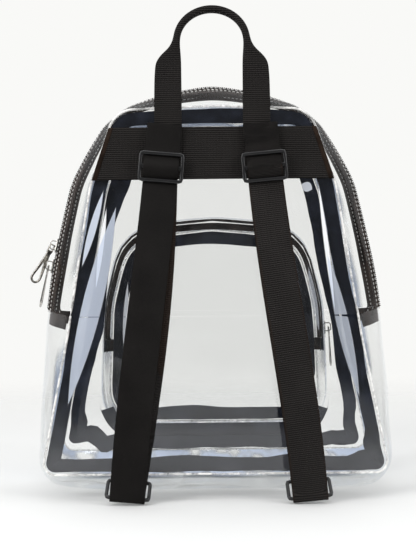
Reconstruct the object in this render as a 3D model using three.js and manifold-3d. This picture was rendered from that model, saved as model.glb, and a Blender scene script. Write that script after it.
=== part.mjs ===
// A clear vinyl mini backpack, closed and standing on its base, in millimetres.
// +Z is up, and -Y is the side with the shoulder straps.
// The origin is on the floor under the middle of the base.
import * as THREE from "three";
import { mergeVertices } from "three/addons/utils/BufferGeometryUtils.js";
import Module from "manifold-3d";

// Clearances and sheet thicknesses
const GAP = 0.35; // between pieces that touch
const TINY = 0.01; // lengths that count as the same
const VINYL = 1; // clear sheet
const TAPE = 0.8; // woven zip tape
const BINDING = 1.6; // binding tape folded over a seam

// Body: two equal panels held apart by a bellied gusset
const BODY_DEPTH = 120; // back seam to front seam
const SEAM_LIFT = 18; // height of the bottom seams above the floor
const PANEL_HEIGHT = 268; // bottom seam to the crown of the top seam
const BOTTOM_HALF_WIDTH = 127;
const WAIST_HALF_WIDTH = 107.5;
const WAIST_HEIGHT = 100; // above the bottom seam
const SHOULDER_HALF_WIDTH = 89.5;
const SHOULDER_DROP = 57; // from the crown of the top seam
const CORNER_HALF_WIDTH = 71;
const CORNER_DROP = 2.5; // from the crown of the top seam to the corner
const BOTTOM_RADIUS = 9;
const SHOULDER_RADIUS = 90;
const CORNER_RADIUS = 20;
const BASE_FIRST = 12; // distance of the first station from the middle of the base
const BASE_SPLIT = 4; // one more station beside the middle, so that no edge crosses it
const PANEL_DISH = 7; // how far the middle of a panel stands out
const BELLY = 28; // how far the widest part of the gusset stands out of the seams

// The gusset's stand-out along half the seam, from the middle of the base to the crown.
// along: share of that length; out: share of BELLY; crest: over 1 flattens the middle of the section;
// power: 2 for a round section, towards 1 for the ridge at the zip.
const BASE_OUT = SEAM_LIFT / BELLY; // down to the floor
const GUSSET_ROWS = [
  { along: 0.0, out: BASE_OUT, crest: 1.25, power: 2.0 },
  { along: 0.174, out: BASE_OUT, crest: 1.25, power: 2.0 },
  { along: 0.232, out: 0.55, crest: 1.15, power: 2.0 },
  { along: 0.245, out: 0.425, crest: 1.1, power: 2.0 },
  { along: 0.26, out: 0.36, crest: 1.05, power: 2.0 },
  { along: 0.29, out: 0.4, crest: 1.0, power: 2.0 },
  { along: 0.339, out: 0.55, crest: 1.0, power: 2.0 },
  { along: 0.403, out: 0.7, crest: 1.0, power: 1.9 },
  { along: 0.47, out: 0.85, crest: 1.0, power: 1.35 },
  { along: 0.504, out: 0.91, crest: 1.0, power: 1.2 },
  { along: 0.567, out: 0.93, crest: 1.0, power: 1.15 },
  { along: 0.631, out: 0.885, crest: 1.0, power: 1.15 },
  { along: 0.691, out: 0.82, crest: 1.0, power: 1.15 },
  { along: 0.725, out: 0.76, crest: 1.0, power: 1.15 },
  { along: 0.775, out: 0.625, crest: 1.0, power: 1.15 },
  { along: 0.815, out: 0.47, crest: 1.0, power: 1.2 },
  { along: 0.845, out: 0.33, crest: 1.0, power: 1.25 },
  { along: 0.87, out: 0.45, crest: 1.0, power: 1.2 },
  { along: 0.913, out: 0.66, crest: 1.0, power: 1.15 },
  { along: 0.957, out: 0.78, crest: 1.0, power: 1.15 },
  { along: 1.0, out: 0.84, crest: 1.0, power: 1.15 },
];
const PANEL_COLUMNS = 6;
const POCKET_COLUMNS = 5;
// A panel's last row, as shares of the width before it and of the way to the top
const CROWN = { across: 0.2, up: 0.8 };
// Columns of the base gusset, as shares of its half span
const BASE_COLUMNS = [-1, -0.84, -0.63, -0.38, -0.13, 0.13, 0.38, 0.63, 0.84, 1];

// Main zip
const ZIP_END_HEIGHT = 115; // above the bottom seam, on both sides
const ZIP_TUCK = 10; // how far the tapes run under the base gusset
const ZIP_WINDOW = 29; // between the edges of the clear strips
const ZIP_TAPE_WIDTH = 15;
const COIL_WIDTH = 5;
const COIL_HEIGHT = 2.2;
const COIL_FLANK = 0.3; // of its height, cut off each edge
const COIL_SINK = 0.9; // how far the coil lies under the ridge line of the clear strips
const BACK_BINDING_WIDTH = 9.5;
const FRONT_BINDING_WIDTH = 10.5;
const BINDING_INSET = 2.3; // from the seam to the binding's outer edge
const BINDING_LEAN = 2.4; // how far the inner edge stands off the panel
const END_TAPE = 0.8; // thickness of the black tape across the gusset at each end
const ROUND_STEP = 19; // degrees between points on a round stretch
const STRAIGHT_STEP = 28; // longest straight stretch between points
const LOWER_STATIONS = [2.6, 1.6]; // in straight steps, below the end of the zip

// Sliders and pulls
const SLIDER = {
  length: 11,
  width: 7,
  plate: 1.2,
  ease: 0.3, // bevel of the plate's edges
  arch: 7.6, // length of the arch
  archWidth: 1,
  leg: 0.9, // thickness of the arch's legs
  crown: 0.8, // thickness of the arch's top
  cutIn: 1.4, // length cut off the arch's upper corners
  cutDown: 1.6, // height cut off the arch's upper corners
  cutInside: 0.3, // how much more is cut off inside
};
// Half outline of the slider's plate: at, of its half length; wide, of its half width
const PLATE_ROWS = [
  { at: -1, wide: 0.44 },
  { at: -0.81, wide: 0.63 },
  { at: -0.1, wide: 0.63 },
  { at: 0.35, wide: 1 },
  { at: 0.81, wide: 1 },
  { at: 1, wide: 0.69 },
];
const PIVOT_HEIGHT = 3.85; // above the underside of the slider
const ARCH_HEIGHT = 6.15;
const PULL = {
  loopAt: 28, // from the bar to the middle of the loop's round end
  loop: 5, // outer radius
  loopHole: 3.4, // inner radius
  loopTurn: 98, // degrees from the tip to where the round end starts
  holeTurn: 104,
  holeStart: 15.5,
  holeNose: 0.4, // half width of the hole's narrow end
  eye: 5, // length of the eye round the arch
  eyeHole: 3.6, // width
  eyeCorner: 0.5,
  taper: 2.4, // length from the eye to the neck
  rail: 0.9, // width of the eye's sides
  bar: 1,
  neck: 3.8,
  thickness: 1,
  steps: 8, // round each curve
};
const UPPER_SLIDER_HEIGHT = 164.5; // above the bottom seam, along the seam
const SLIDER_SPACING = 16;
const UPPER_PULL_TILT = 28; // degrees out of the vertical, resting on the lower slider
const LOWER_PULL_TILT = 12;
const UPPER_PULL_ROLL = 43; // degrees about its own length

// Front pocket
const POCKET_DEPTH = 28;
const POCKET_BOTTOM = 16; // above the bottom seam of the body
const POCKET_HEIGHT = 176.5;
const POCKET_HALF_WIDTH = 94;
const POCKET_WAIST_HALF_WIDTH = 90;
const POCKET_WAIST_HEIGHT = 105;
const POCKET_TOP_HALF_WIDTH = 75;
const POCKET_CORNER_DROP = 7; // from the top of the pocket's seam
const POCKET_BOTTOM_RADIUS = 32;
const POCKET_WAIST_RADIUS = 100;
const POCKET_CORNER_RADIUS = 42;
const POCKET_DISH = 5;
const POCKET_BELLY = 4;
const POCKET_TAPER = 4; // how far the face's edge lies inside the seam on the body
const POCKET_TOP_TAPER = 8.5; // the same at the top
const POCKET_ZIP_END_HEIGHT = 75; // above the pocket's bottom
const POCKET_ZIP_WINDOW = 12;
const POCKET_TAPE_WIDTH = 5;
const POCKET_BINDING_WIDTH = 10;
const POCKET_END_REACH = 0.8; // of the gusset's half span, covered by the black tape at a zip end
const POCKET_SLIDER_HEIGHT = 84; // above the pocket's bottom
const POCKET_PULL_TILT = 3;

// Webbing
const YOKE_HEIGHT = 38;
const YOKE_DROP = 16; // from the crown of the top seam to the yoke's upper edge
const YOKE_THICKNESS = 1.6;
const YOKE_COLUMNS = 15;
const YOKE_ROWS = 4;
const STRAP_WIDTH = 25;
const STRAP_THICKNESS = 1.5;
const STRAP_BOW = 19; // how far the long run stands out between its ends
const STRAP_OVERLAP = 16; // length sewn to the yoke
const STRAP_TOP_X = 34.5;
const RIGHT_STRAP_BOTTOM_X = 67;
const LEFT_STRAP_BOTTOM_X = 63;
const TOP_SLANT = 5; // degrees, at the tri-glide
const BOTTOM_SLANT = 5; // degrees, at the ring
const LEFT_DRIFT = 5; // how far the left strap's inner run shows beside the outer one
const RIGHT_DRIFT = 1;
const STRAP_SLACK = 0.1; // between the strap and the tri-glide's bars, over the gap
const STRAP_RISE = 2; // of the strap's sewn end above the yoke
const RUN_POINTS = 13; // along each long run
const RING_WRAP = [180, 210, 240, 270, 300, 330, 360]; // degrees round the ring's lower bar

// Tri-glides, rings and tabs
const GLIDE_WIDTH = 32.8;
const GLIDE_HEIGHT = 22;
const GLIDE_DROP = 29.6; // from the top of the yoke to the glide's middle
const BAR = 2.6; // thickness of every bar
const BAR_EASE = 0.65; // bevel of its edges
const RING_HEIGHT = 18;
const RING_STAND_OFF = 19; // from the back seam to the ring's lower bar
const RING_CLEAR = 1.6; // under the strap's fold
const RING_PITCH = 40; // degrees from the floor
const TAB_WIDTH = 24;
const TAB_THICKNESS = 1.2;
const TAB_REACH = 10; // of its sewn end above the bottom seam
const TAB_TURN = 3; // height above the bottom seam where it leaves the panel
const TAB_TAIL = 2.55; // depth of its other end under the bottom seam
const TAB_WRAP = [60, 100, 140, 180, 220, 260, 290]; // degrees round the ring's upper bar

// Handle
const HANDLE_WIDTH = 20;
const HANDLE_THICKNESS = 1.6;
const HANDLE_SPREAD = 32; // half distance between the legs at the yoke
const HANDLE_OVERLAP = 13; // length sewn to the yoke
const HANDLE_NECK_HEIGHT = 62; // above the top of the yoke
const HANDLE_NECK_SPREAD = 25.5;
const HANDLE_RISE = 22.8; // of the grip above the neck
const GRIP_THICKNESS = 5.2;
const GRIP_WIDTH = 10;
const HANDLE_CHAMFER = 0.5; // of the section's thinner half
const GRIP_STEPS = 12; // sections round the grip
// Sections of a leg, by share of the way from its sewn end to the neck
const HANDLE_STATIONS = [0, 0.18, 0.4, 0.62, 0.72, 0.78, 0.83, 0.88, 0.93, 1];
// at: that share; wide: of the webbing's width; fold: 0 for flat and 1 for the grip
const HANDLE_ROWS = [
  { at: 0.0, wide: 1.0, fold: 0.0 },
  { at: 0.55, wide: 0.99, fold: 0.0 },
  { at: 0.78, wide: 0.93, fold: 0.06 },
  { at: 0.86, wide: 0.74, fold: 0.3 },
  { at: 0.93, wide: 0.42, fold: 0.7 },
  { at: 1.0, wide: 0.26, fold: 1.0 },
];

const degrees = THREE.MathUtils.degToRad;
const lerp = THREE.MathUtils.lerp;

// A monotone cubic curve through one column of a table.
function curveThrough(rows, key, column) {
  const slope = rows.map((row, k) => {
    if (k === 0 || k === rows.length - 1) return 0;
    const before = (row[column] - rows[k - 1][column]) / (row[key] - rows[k - 1][key]);
    const after = (rows[k + 1][column] - row[column]) / (rows[k + 1][key] - row[key]);
    return before * after <= 0 ? 0 : (2 * before * after) / (before + after);
  });
  return (at) => {
    const k = Math.min(rows.length - 2, Math.max(0, rows.findLastIndex((row) => row[key] <= at)));
    const [a, b] = [rows[k], rows[k + 1]];
    const span = b[key] - a[key];
    const t = THREE.MathUtils.clamp((at - a[key]) / span, 0, 1);
    const ease = t * t * (3 - 2 * t);
    const pull = span * t * (1 - t) * ((1 - t) * slope[k] - t * slope[k + 1]);
    return lerp(a[column], b[column], ease) + pull;
  };
}

// Points from the first to the last corner, with each corner between rounded by its radius.
function roundedLine(corners) {
  const points = [new THREE.Vector2(corners[0].x, corners[0].z)];
  for (let k = 1; k < corners.length - 1; k += 1) {
    if (!corners[k].radius) {
      points.push(new THREE.Vector2(corners[k].x, corners[k].z));
      continue;
    }
    const [a, b, c] = corners.slice(k - 1, k + 2).map((q) => new THREE.Vector2(q.x, q.z));
    const back = a.clone().sub(b).normalize();
    const on = c.clone().sub(b).normalize();
    const half = back.angleTo(on) / 2;
    const reach = corners[k].radius / Math.tan(half);
    const inward = back.clone().add(on).normalize();
    const centre = inward.multiplyScalar(corners[k].radius / Math.sin(half)).add(b);
    const from = back.clone().multiplyScalar(reach).add(b).sub(centre);
    const sweep = Math.PI - 2 * half;
    const steps = Math.max(2, Math.ceil(THREE.MathUtils.radToDeg(sweep) / ROUND_STEP));
    for (let n = 0; n <= steps; n += 1) {
      const spoke = from.clone().rotateAround(new THREE.Vector2(), (sweep * n) / steps);
      points.push(spoke.add(centre));
    }
  }
  const last = corners.at(-1);
  points.push(new THREE.Vector2(last.x, last.z));
  return points;
}

// The same line with long straight stretches divided, and with a point at each given height.
function divided(points, heights) {
  const found = [points[0]];
  for (const next of points.slice(1)) {
    const start = found.at(-1);
    const cuts = heights
      .filter((z) => next.x > 0 && z > start.y + TINY && z < next.y - TINY)
      .map((z) => (z - start.y) / (next.y - start.y));
    const count = Math.ceil(start.distanceTo(next) / STRAIGHT_STEP);
    const even = Array.from({ length: count - 1 }, (_, n) => (n + 1) / count);
    const shares = cuts.length ? cuts.sort((a, b) => a - b) : even;
    for (const share of shares) found.push(start.clone().lerp(next, share));
    found.push(next);
  }
  return found;
}

// A closed outline, mirrored about X, as stations with an outward normal and the share of the half length.
function outlineOf(corners, heights) {
  const half = divided(roundedLine(corners), heights);
  const lengths = [0];
  for (const [k, p] of half.slice(1).entries()) lengths.push(lengths[k] + p.distanceTo(half[k]));
  const right = half.map((p, k) => ({ x: p.x, z: p.y, along: lengths[k] / lengths.at(-1) }));
  const rest = right.slice(0, -1).reverse();
  const left = rest.map((p) => ({ ...p, x: -p.x }));
  const stations = [{ ...right[0], x: BASE_SPLIT }, ...right, ...left];
  stations.forEach((p, k) => {
    const before = stations.at(k - 1);
    const after = stations[(k + 1) % stations.length];
    const a = new THREE.Vector2(p.z - before.z, before.x - p.x).normalize();
    const b = new THREE.Vector2(after.z - p.z, p.x - after.x).normalize();
    p.normal = a.add(b).normalize();
  });
  return { stations, right };
}

// Half the outline's width at a height.
function halfWidthAt(outline, z) {
  const line = outline.right.slice(0, -1);
  const k = line.findIndex((p) => p.z > z);
  if (k === -1) return line.at(-1).x;
  if (k === 0) return line[0].x;
  return lerp(line[k - 1].x, line[k].x, (z - line[k - 1].z) / (line[k].z - line[k - 1].z));
}

// How far a panel of that outline stands out at a point.
function dishAt(outline, depth, x, z) {
  const low = outline.right[0].z;
  const high = outline.right.at(-1).z;
  const across = x / halfWidthAt(outline, z);
  const up = (2 * z - low - high) / (high - low);
  return depth * Math.max(0, 1 - across * across) * Math.max(0, 1 - up * up);
}

// A closed solid from a grid of cells, each with its outer and its inner point.
function slab(grid, loop = false) {
  const rows = grid.length;
  const columns = grid[0].length;
  const corners = grid.flat().flatMap(({ outer, inner }) => [...outer.toArray(), ...inner.toArray()]);
  const at = (i, j, side) => ((i % rows) * columns + j) * 2 + side;
  const faces = [];
  const quad = (a, b, c, d) => faces.push(a, b, c, a, c, d);
  const spans = loop ? rows : rows - 1;
  for (let i = 0; i < spans; i += 1) {
    for (let j = 0; j < columns - 1; j += 1) {
      quad(at(i, j, 0), at(i + 1, j, 0), at(i + 1, j + 1, 0), at(i, j + 1, 0));
      quad(at(i, j + 1, 1), at(i + 1, j + 1, 1), at(i + 1, j, 1), at(i, j, 1));
    }
    quad(at(i, 0, 1), at(i + 1, 0, 1), at(i + 1, 0, 0), at(i, 0, 0));
    const end = columns - 1;
    quad(at(i, end, 0), at(i + 1, end, 0), at(i + 1, end, 1), at(i, end, 1));
  }
  if (!loop)
    for (let j = 0; j < columns - 1; j += 1) {
      quad(at(0, j, 0), at(0, j + 1, 0), at(0, j + 1, 1), at(0, j, 1));
      quad(at(rows - 1, j, 1), at(rows - 1, j + 1, 1), at(rows - 1, j + 1, 0), at(rows - 1, j, 0));
    }
  return facingOut(corners, faces);
}

// A closed solid through rings of points, with flat ends.
function loft(rings) {
  const around = rings[0].length;
  const corners = rings.flat().flatMap((p) => p.toArray());
  const faces = [];
  for (let i = 0; i < rings.length - 1; i += 1)
    for (let j = 0; j < around; j += 1) {
      const [a, b] = [i * around + j, i * around + ((j + 1) % around)];
      faces.push(a, b, b + around, a, b + around, a + around);
    }
  const last = (rings.length - 1) * around;
  for (let j = 1; j < around - 1; j += 1) faces.push(0, j + 1, j, last, last + j, last + j + 1);
  return facingOut(corners, faces);
}

// The mesh of those faces, turned so that they point out.
function facingOut(corners, faces) {
  const [a, b, c] = [new THREE.Vector3(), new THREE.Vector3(), new THREE.Vector3()];
  let volume = 0;
  for (let k = 0; k < faces.length; k += 3) {
    a.fromArray(corners, faces[k] * 3);
    b.fromArray(corners, faces[k + 1] * 3);
    c.fromArray(corners, faces[k + 2] * 3);
    volume += a.dot(b.cross(c));
  }
  const geometry = new THREE.BufferGeometry();
  geometry.setAttribute("position", new THREE.Float32BufferAttribute(corners, 3));
  geometry.setIndex(volume < 0 ? faces.reverse() : faces);
  geometry.computeVertexNormals();
  return geometry;
}

// Materials
const clearVinyl = new THREE.MeshStandardMaterial({
  color: 0xe9eef0, roughness: 0.08, metalness: 0, transparent: true, opacity: 0.3,
});
const plain = (color, roughness, metalness = 0) =>
  new THREE.MeshStandardMaterial({ color, roughness, metalness });
const blackWebbing = plain(0x17171a, 0.85);
const blackTape = plain(0x16181d, 0.7);
const zipCoil = plain(0x24201f, 0.5);
const blackPlastic = plain(0x121214, 0.35);
const nickel = plain(0xb9b6ae, 0.25, 1);

const bag = new THREE.Group();

function add(name, geometry, material, parent = bag) {
  const mesh = new THREE.Mesh(geometry, material);
  mesh.name = name;
  parent.add(mesh);
  return mesh;
}

// Body outline
const halfDepth = BODY_DEPTH / 2;
const crownZ = SEAM_LIFT + PANEL_HEIGHT;
const zipEnd = SEAM_LIFT + ZIP_END_HEIGHT;
const bodyOutline = outlineOf(
  [
    { x: BASE_FIRST, z: SEAM_LIFT },
    { x: BOTTOM_HALF_WIDTH, z: SEAM_LIFT, radius: BOTTOM_RADIUS },
    { x: WAIST_HALF_WIDTH, z: SEAM_LIFT + WAIST_HEIGHT, radius: 0 },
    { x: SHOULDER_HALF_WIDTH, z: crownZ - SHOULDER_DROP, radius: SHOULDER_RADIUS },
    { x: CORNER_HALF_WIDTH, z: crownZ - CORNER_DROP, radius: CORNER_RADIUS },
    { x: 0, z: crownZ },
  ],
  [
    ...LOWER_STATIONS.map((steps) => zipEnd - steps * STRAIGHT_STEP),
    zipEnd - ZIP_TUCK,
    zipEnd,
    zipEnd + GAP,
    zipEnd + STRAIGHT_STEP,
    zipEnd + 2 * STRAIGHT_STEP,
  ],
);
const standOut = Object.fromEntries(
  ["out", "crest", "power"].map((column) => [column, curveThrough(GUSSET_ROWS, "along", column)]),
);

// The body gusset. place() gives the point at a depth under the outer skin, with v from -1 at the back
// to 1 at the front.
const tapeDepth = VINYL + GAP;
const tuckedDepth = tapeDepth + END_TAPE + 5 * GAP; // where the tapes run under the black end tape
const coilLevel = tapeDepth + TAPE / 2 - COIL_HEIGHT / 2;
const bodyGusset = {
  stations: bodyOutline.stations,
  coilTop: coilLevel + COIL_SINK,
  halfSpan: () => halfDepth - VINYL - GAP,
  place({ x, z, normal, along }, v, depth) {
    const reach = this.halfSpan();
    const out = standOut.out(along) * BELLY;
    const [crest, power] = [standOut.crest(along), standOut.power(along)];
    const rise = (w) => out * Math.min(1, crest * (1 - Math.abs(w) ** power));
    const slope = (rise(v + TINY) - rise(v - TINY)) / (2 * TINY * reach);
    const off = rise(v) - depth * Math.hypot(1, slope);
    return new THREE.Vector3(x + normal.x * off, v * reach, z + normal.y * off);
  },
};

// A strip of a gusset between two distances from its middle, a depth under its skin.
function strip(gusset, stations, edges, depthAt, thickness) {
  return slab(
    stations.map((station) =>
      edges.map((edge) => {
        const v = edge / gusset.halfSpan(station);
        const depth = depthAt(station);
        return { outer: gusset.place(station, v, depth), inner: gusset.place(station, v, depth + thickness) };
      }),
    ),
  );
}

// A whole width of a gusset at its outer skin.
function sheet(gusset, stations, shares) {
  return slab(
    stations.map((station) =>
      shares.map((v) => ({ outer: gusset.place(station, v, 0), inner: gusset.place(station, v, VINYL) })),
    ),
  );
}

// Stations of the loop from one end height to the other, over the base or over the top. With past, it
// reaches that many stations further.
function stretch(outline, height, over, past = 0) {
  const { stations } = outline;
  const [right, left] = [1, -1].map((side) =>
    stations.findIndex((p) => p.x * side > 0 && Math.abs(p.z - height) < TINY),
  );
  if (over === "base") return [...stations.slice(left - past), ...stations.slice(0, right + 1 + past)];
  return stations.slice(right - past, left + 1 + past);
}

// Evenly spaced values, both ends included
const toEdges = (from, to, count) =>
  Array.from({ length: count }, (_, k) => lerp(from, to, k / (count - 1)));

// Panels
function panel(outline, side, seamY, dish) {
  const across = toEdges(-1, 1, PANEL_COLUMNS);
  const low = outline.right.findLastIndex((p) => p.z === outline.right[0].z);
  const rows = outline.right.slice(low, -1);
  const top = outline.right.at(-1);
  const crown = { x: rows.at(-1).x * CROWN.across, z: lerp(rows.at(-1).z, top.z, CROWN.up) };
  return slab(
    [...rows, crown].map(({ x, z }) =>
      across.map((share) => {
        const y = seamY + side * dishAt(outline, dish, share * x, z);
        return {
          outer: new THREE.Vector3(share * x, y, z),
          inner: new THREE.Vector3(share * x, y - side * VINYL, z),
        };
      }),
    ),
  );
}
add("back_panel", panel(bodyOutline, -1, -halfDepth, PANEL_DISH), clearVinyl);
add("front_panel", panel(bodyOutline, 1, halfDepth, PANEL_DISH), clearVinyl);

// Base gusset
add("base_gusset", sheet(bodyGusset, stretch(bodyOutline, zipEnd, "base"), BASE_COLUMNS), clearVinyl);

// A zip set in a gusset: a clear strip and a woven tape on each side, and the coil between the tapes.
function zipRun(prefix, gusset, outline, height, sizes) {
  const clear = stretch(outline, height + GAP, "top");
  const tucked = stretch(outline, height + GAP, "top", 2);
  const coilHalf = COIL_WIDTH / 2;
  const coilTop = gusset.coilTop;
  for (const [label, side] of [["back", -1], ["front", 1]]) {
    const grid = clear.map((station) => {
      const reach = gusset.halfSpan(station);
      const shares = [sizes.window / 2, coilHalf + GAP + sizes.tape].map((edge) => edge / reach);
      const columns = [shares[0], ...toEdges(shares[1], 1, sizes.clearCells)];
      return columns.map((v) => ({
        outer: gusset.place(station, side * v, 0), inner: gusset.place(station, side * v, VINYL),
      }));
    });
    add(`${prefix}_strip_${label}`, slab(grid), clearVinyl);
    const edges = [coilHalf + GAP, sizes.window / 2, coilHalf + GAP + sizes.tape].map((edge) => side * edge);
    const depthAt = ({ z }) => (z < height + GAP / 2 ? tuckedDepth : tapeDepth);
    add(`${prefix}_tape_${label}`, strip(gusset, tucked, edges, depthAt, TAPE), blackTape);
  }
  const flank = COIL_HEIGHT * COIL_FLANK;
  const coil = clear.map((station) => {
    const middle = gusset.place(station, 0, 0).y;
    const point = (across, depth) => gusset.place(station, 0, depth).setY(middle + across);
    return [
      point(-coilHalf, coilTop + flank),
      point(-coilHalf / 2, coilTop),
      point(coilHalf / 2, coilTop),
      point(coilHalf, coilTop + flank),
      point(coilHalf, coilTop + COIL_HEIGHT - flank),
      point(-coilHalf, coilTop + COIL_HEIGHT - flank),
    ];
  });
  add(`${prefix}_coil`, loft(coil), zipCoil);
}
zipRun("zip", bodyGusset, bodyOutline, zipEnd, {
  window: ZIP_WINDOW,
  tape: ZIP_TAPE_WIDTH,
  clearCells: 3,
});

// Black tape across a gusset at each end of its zip, between the clear sheet and the zip tapes
function endTapes(prefix, gusset, outline, height, shares) {
  const base = stretch(outline, height, "base");
  for (const [label, pair] of [["right", base.slice(-2)], ["left", base.slice(0, 2)]]) {
    const rows = pair.map((station) =>
      shares.map((v) => ({
        outer: gusset.place(station, v, tapeDepth), inner: gusset.place(station, v, tapeDepth + END_TAPE),
      })),
    );
    add(`${prefix}_end_${label}`, slab(rows), blackTape);
  }
}
endTapes("zip", bodyGusset, bodyOutline, zipEnd, BASE_COLUMNS.slice(1, -1));

// Binding round the inside of a seam
function binding(outline, seamY, side, width, lean) {
  return slab(
    outline.stations.map((station) =>
      [0, 1].map((share) => {
        const off = BINDING_INSET + share * width;
        const x = station.x - station.normal.x * off;
        const z = station.z - station.normal.y * off;
        const y = seamY + side * share * lean;
        return { outer: new THREE.Vector3(x, y, z), inner: new THREE.Vector3(x, y + side * BINDING, z) };
      }),
    ),
    true,
  );
}
const bindingStart = halfDepth - VINYL - GAP;
add(
  "back_binding",
  binding(bodyOutline, -bindingStart, 1, BACK_BINDING_WIDTH, BINDING_LEAN),
  blackTape,
);
add(
  "front_binding",
  binding(bodyOutline, bindingStart, -1, FRONT_BINDING_WIDTH, BINDING_LEAN),
  blackTape,
);

// Front pocket
const pocketLow = SEAM_LIFT + POCKET_BOTTOM;
const pocketHigh = pocketLow + POCKET_HEIGHT;
const pocketZipEnd = pocketLow + POCKET_ZIP_END_HEIGHT;
const pocketOutline = outlineOf(
  [
    { x: BASE_FIRST, z: pocketLow },
    { x: POCKET_HALF_WIDTH, z: pocketLow, radius: POCKET_BOTTOM_RADIUS },
    { x: POCKET_WAIST_HALF_WIDTH, z: pocketLow + POCKET_WAIST_HEIGHT, radius: POCKET_WAIST_RADIUS },
    { x: POCKET_TOP_HALF_WIDTH, z: pocketHigh - POCKET_CORNER_DROP, radius: POCKET_CORNER_RADIUS },
    { x: 0, z: pocketHigh },
  ],
  [pocketZipEnd - ZIP_TUCK, pocketZipEnd, pocketZipEnd + GAP],
);
const pocketFaceY = halfDepth + POCKET_DEPTH;
const frontFace = (x, z) => halfDepth + dishAt(bodyOutline, PANEL_DISH, x, z);
const pocketGusset = {
  stations: pocketOutline.stations,
  coilTop: coilLevel,
  backEdge: (station) => frontFace(station.x, station.z) + GAP,
  halfSpan(station) {
    return (pocketFaceY - VINYL - GAP - this.backEdge(station)) / 2;
  },
  place(station, v, depth) {
    const reach = this.halfSpan(station);
    const y = this.backEdge(station) + (v + 1) * reach;
    const taper = lerp(POCKET_TAPER, POCKET_TOP_TAPER, Math.max(0, station.normal.y));
    const slope = (-2 * v * POCKET_BELLY - taper / 2) / reach;
    const skin = POCKET_BELLY * (1 - v * v) - (taper * (v + 1)) / 2;
    const off = skin - depth * Math.hypot(1, slope);
    return new THREE.Vector3(station.x + station.normal.x * off, y, station.z + station.normal.y * off);
  },
};
const faceOutline = outlineOf(
  [
    { x: BASE_FIRST, z: pocketLow + POCKET_TAPER },
    {
      x: POCKET_HALF_WIDTH - POCKET_TAPER,
      z: pocketLow + POCKET_TAPER,
      radius: POCKET_BOTTOM_RADIUS - POCKET_TAPER,
    },
    {
      x: POCKET_WAIST_HALF_WIDTH - POCKET_TAPER,
      z: pocketLow + POCKET_WAIST_HEIGHT,
      radius: POCKET_WAIST_RADIUS - POCKET_TAPER,
    },
    {
      x: POCKET_TOP_HALF_WIDTH - POCKET_TAPER,
      z: pocketHigh - POCKET_CORNER_DROP - POCKET_TOP_TAPER,
      radius: POCKET_CORNER_RADIUS - POCKET_TAPER,
    },
    { x: 0, z: pocketHigh - POCKET_TOP_TAPER },
  ],
  [],
);
add("pocket_face", panel(faceOutline, 1, pocketFaceY, POCKET_DISH), clearVinyl);
const pocketBase = stretch(pocketOutline, pocketZipEnd, "base");
const pocketColumns = toEdges(-1, 1, POCKET_COLUMNS);
add("pocket_base_gusset", sheet(pocketGusset, pocketBase, pocketColumns), clearVinyl);
endTapes("pocket_zip", pocketGusset, pocketOutline, pocketZipEnd, [
  -POCKET_END_REACH,
  ...pocketColumns.slice(1, -1),
  POCKET_END_REACH,
]);
zipRun("pocket_zip", pocketGusset, pocketOutline, pocketZipEnd, {
  window: POCKET_ZIP_WINDOW,
  tape: POCKET_TAPE_WIDTH,
  clearCells: 2,
});
const pocketBindingStart = pocketFaceY - VINYL - GAP;
add(
  "pocket_face_binding",
  binding(faceOutline, pocketBindingStart, -1, POCKET_BINDING_WIDTH, BINDING_LEAN / 2),
  blackTape,
);

// Webbing that crosses the back panel
const backFace = (x, z) => -halfDepth - dishAt(bodyOutline, PANEL_DISH, x, z);
const yokeTop = crownZ - YOKE_DROP;
const yokeFace = (x, z) => backFace(x, z) - GAP - YOKE_THICKNESS;
const yokeGrid = toEdges(-1, 1, YOKE_COLUMNS).map((share) =>
  toEdges(yokeTop - YOKE_HEIGHT, yokeTop, YOKE_ROWS).map((z) => {
    const x = share * (halfWidthAt(bodyOutline, z) - GAP);
    const outer = new THREE.Vector3(x, yokeFace(x, z), z);
    return { outer, inner: outer.clone().setY(outer.y + YOKE_THICKNESS) };
  }),
);
add("yoke", slab(yokeGrid), blackWebbing);

// A band of webbing along a path of centre points, each with the slant of its width in the XZ plane.
function band(path, width, thickness) {
  return slab(
    path.map(({ p, slant }, k) => {
      const before = path[Math.max(0, k - 1)].p;
      const after = path[Math.min(path.length - 1, k + 1)].p;
      const across = new THREE.Vector3(Math.cos(slant), 0, Math.sin(slant));
      const along = after.clone().sub(before);
      along.addScaledVector(across, -along.dot(across)).normalize();
      const normal = along.clone().cross(across);
      return [-0.5, 0.5].map((share) => {
        const edge = p.clone().addScaledVector(across, share * width);
        return {
          outer: edge.clone().addScaledVector(normal, thickness / 2),
          inner: edge.clone().addScaledVector(normal, -thickness / 2),
        };
      });
    }),
  );
}

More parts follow.
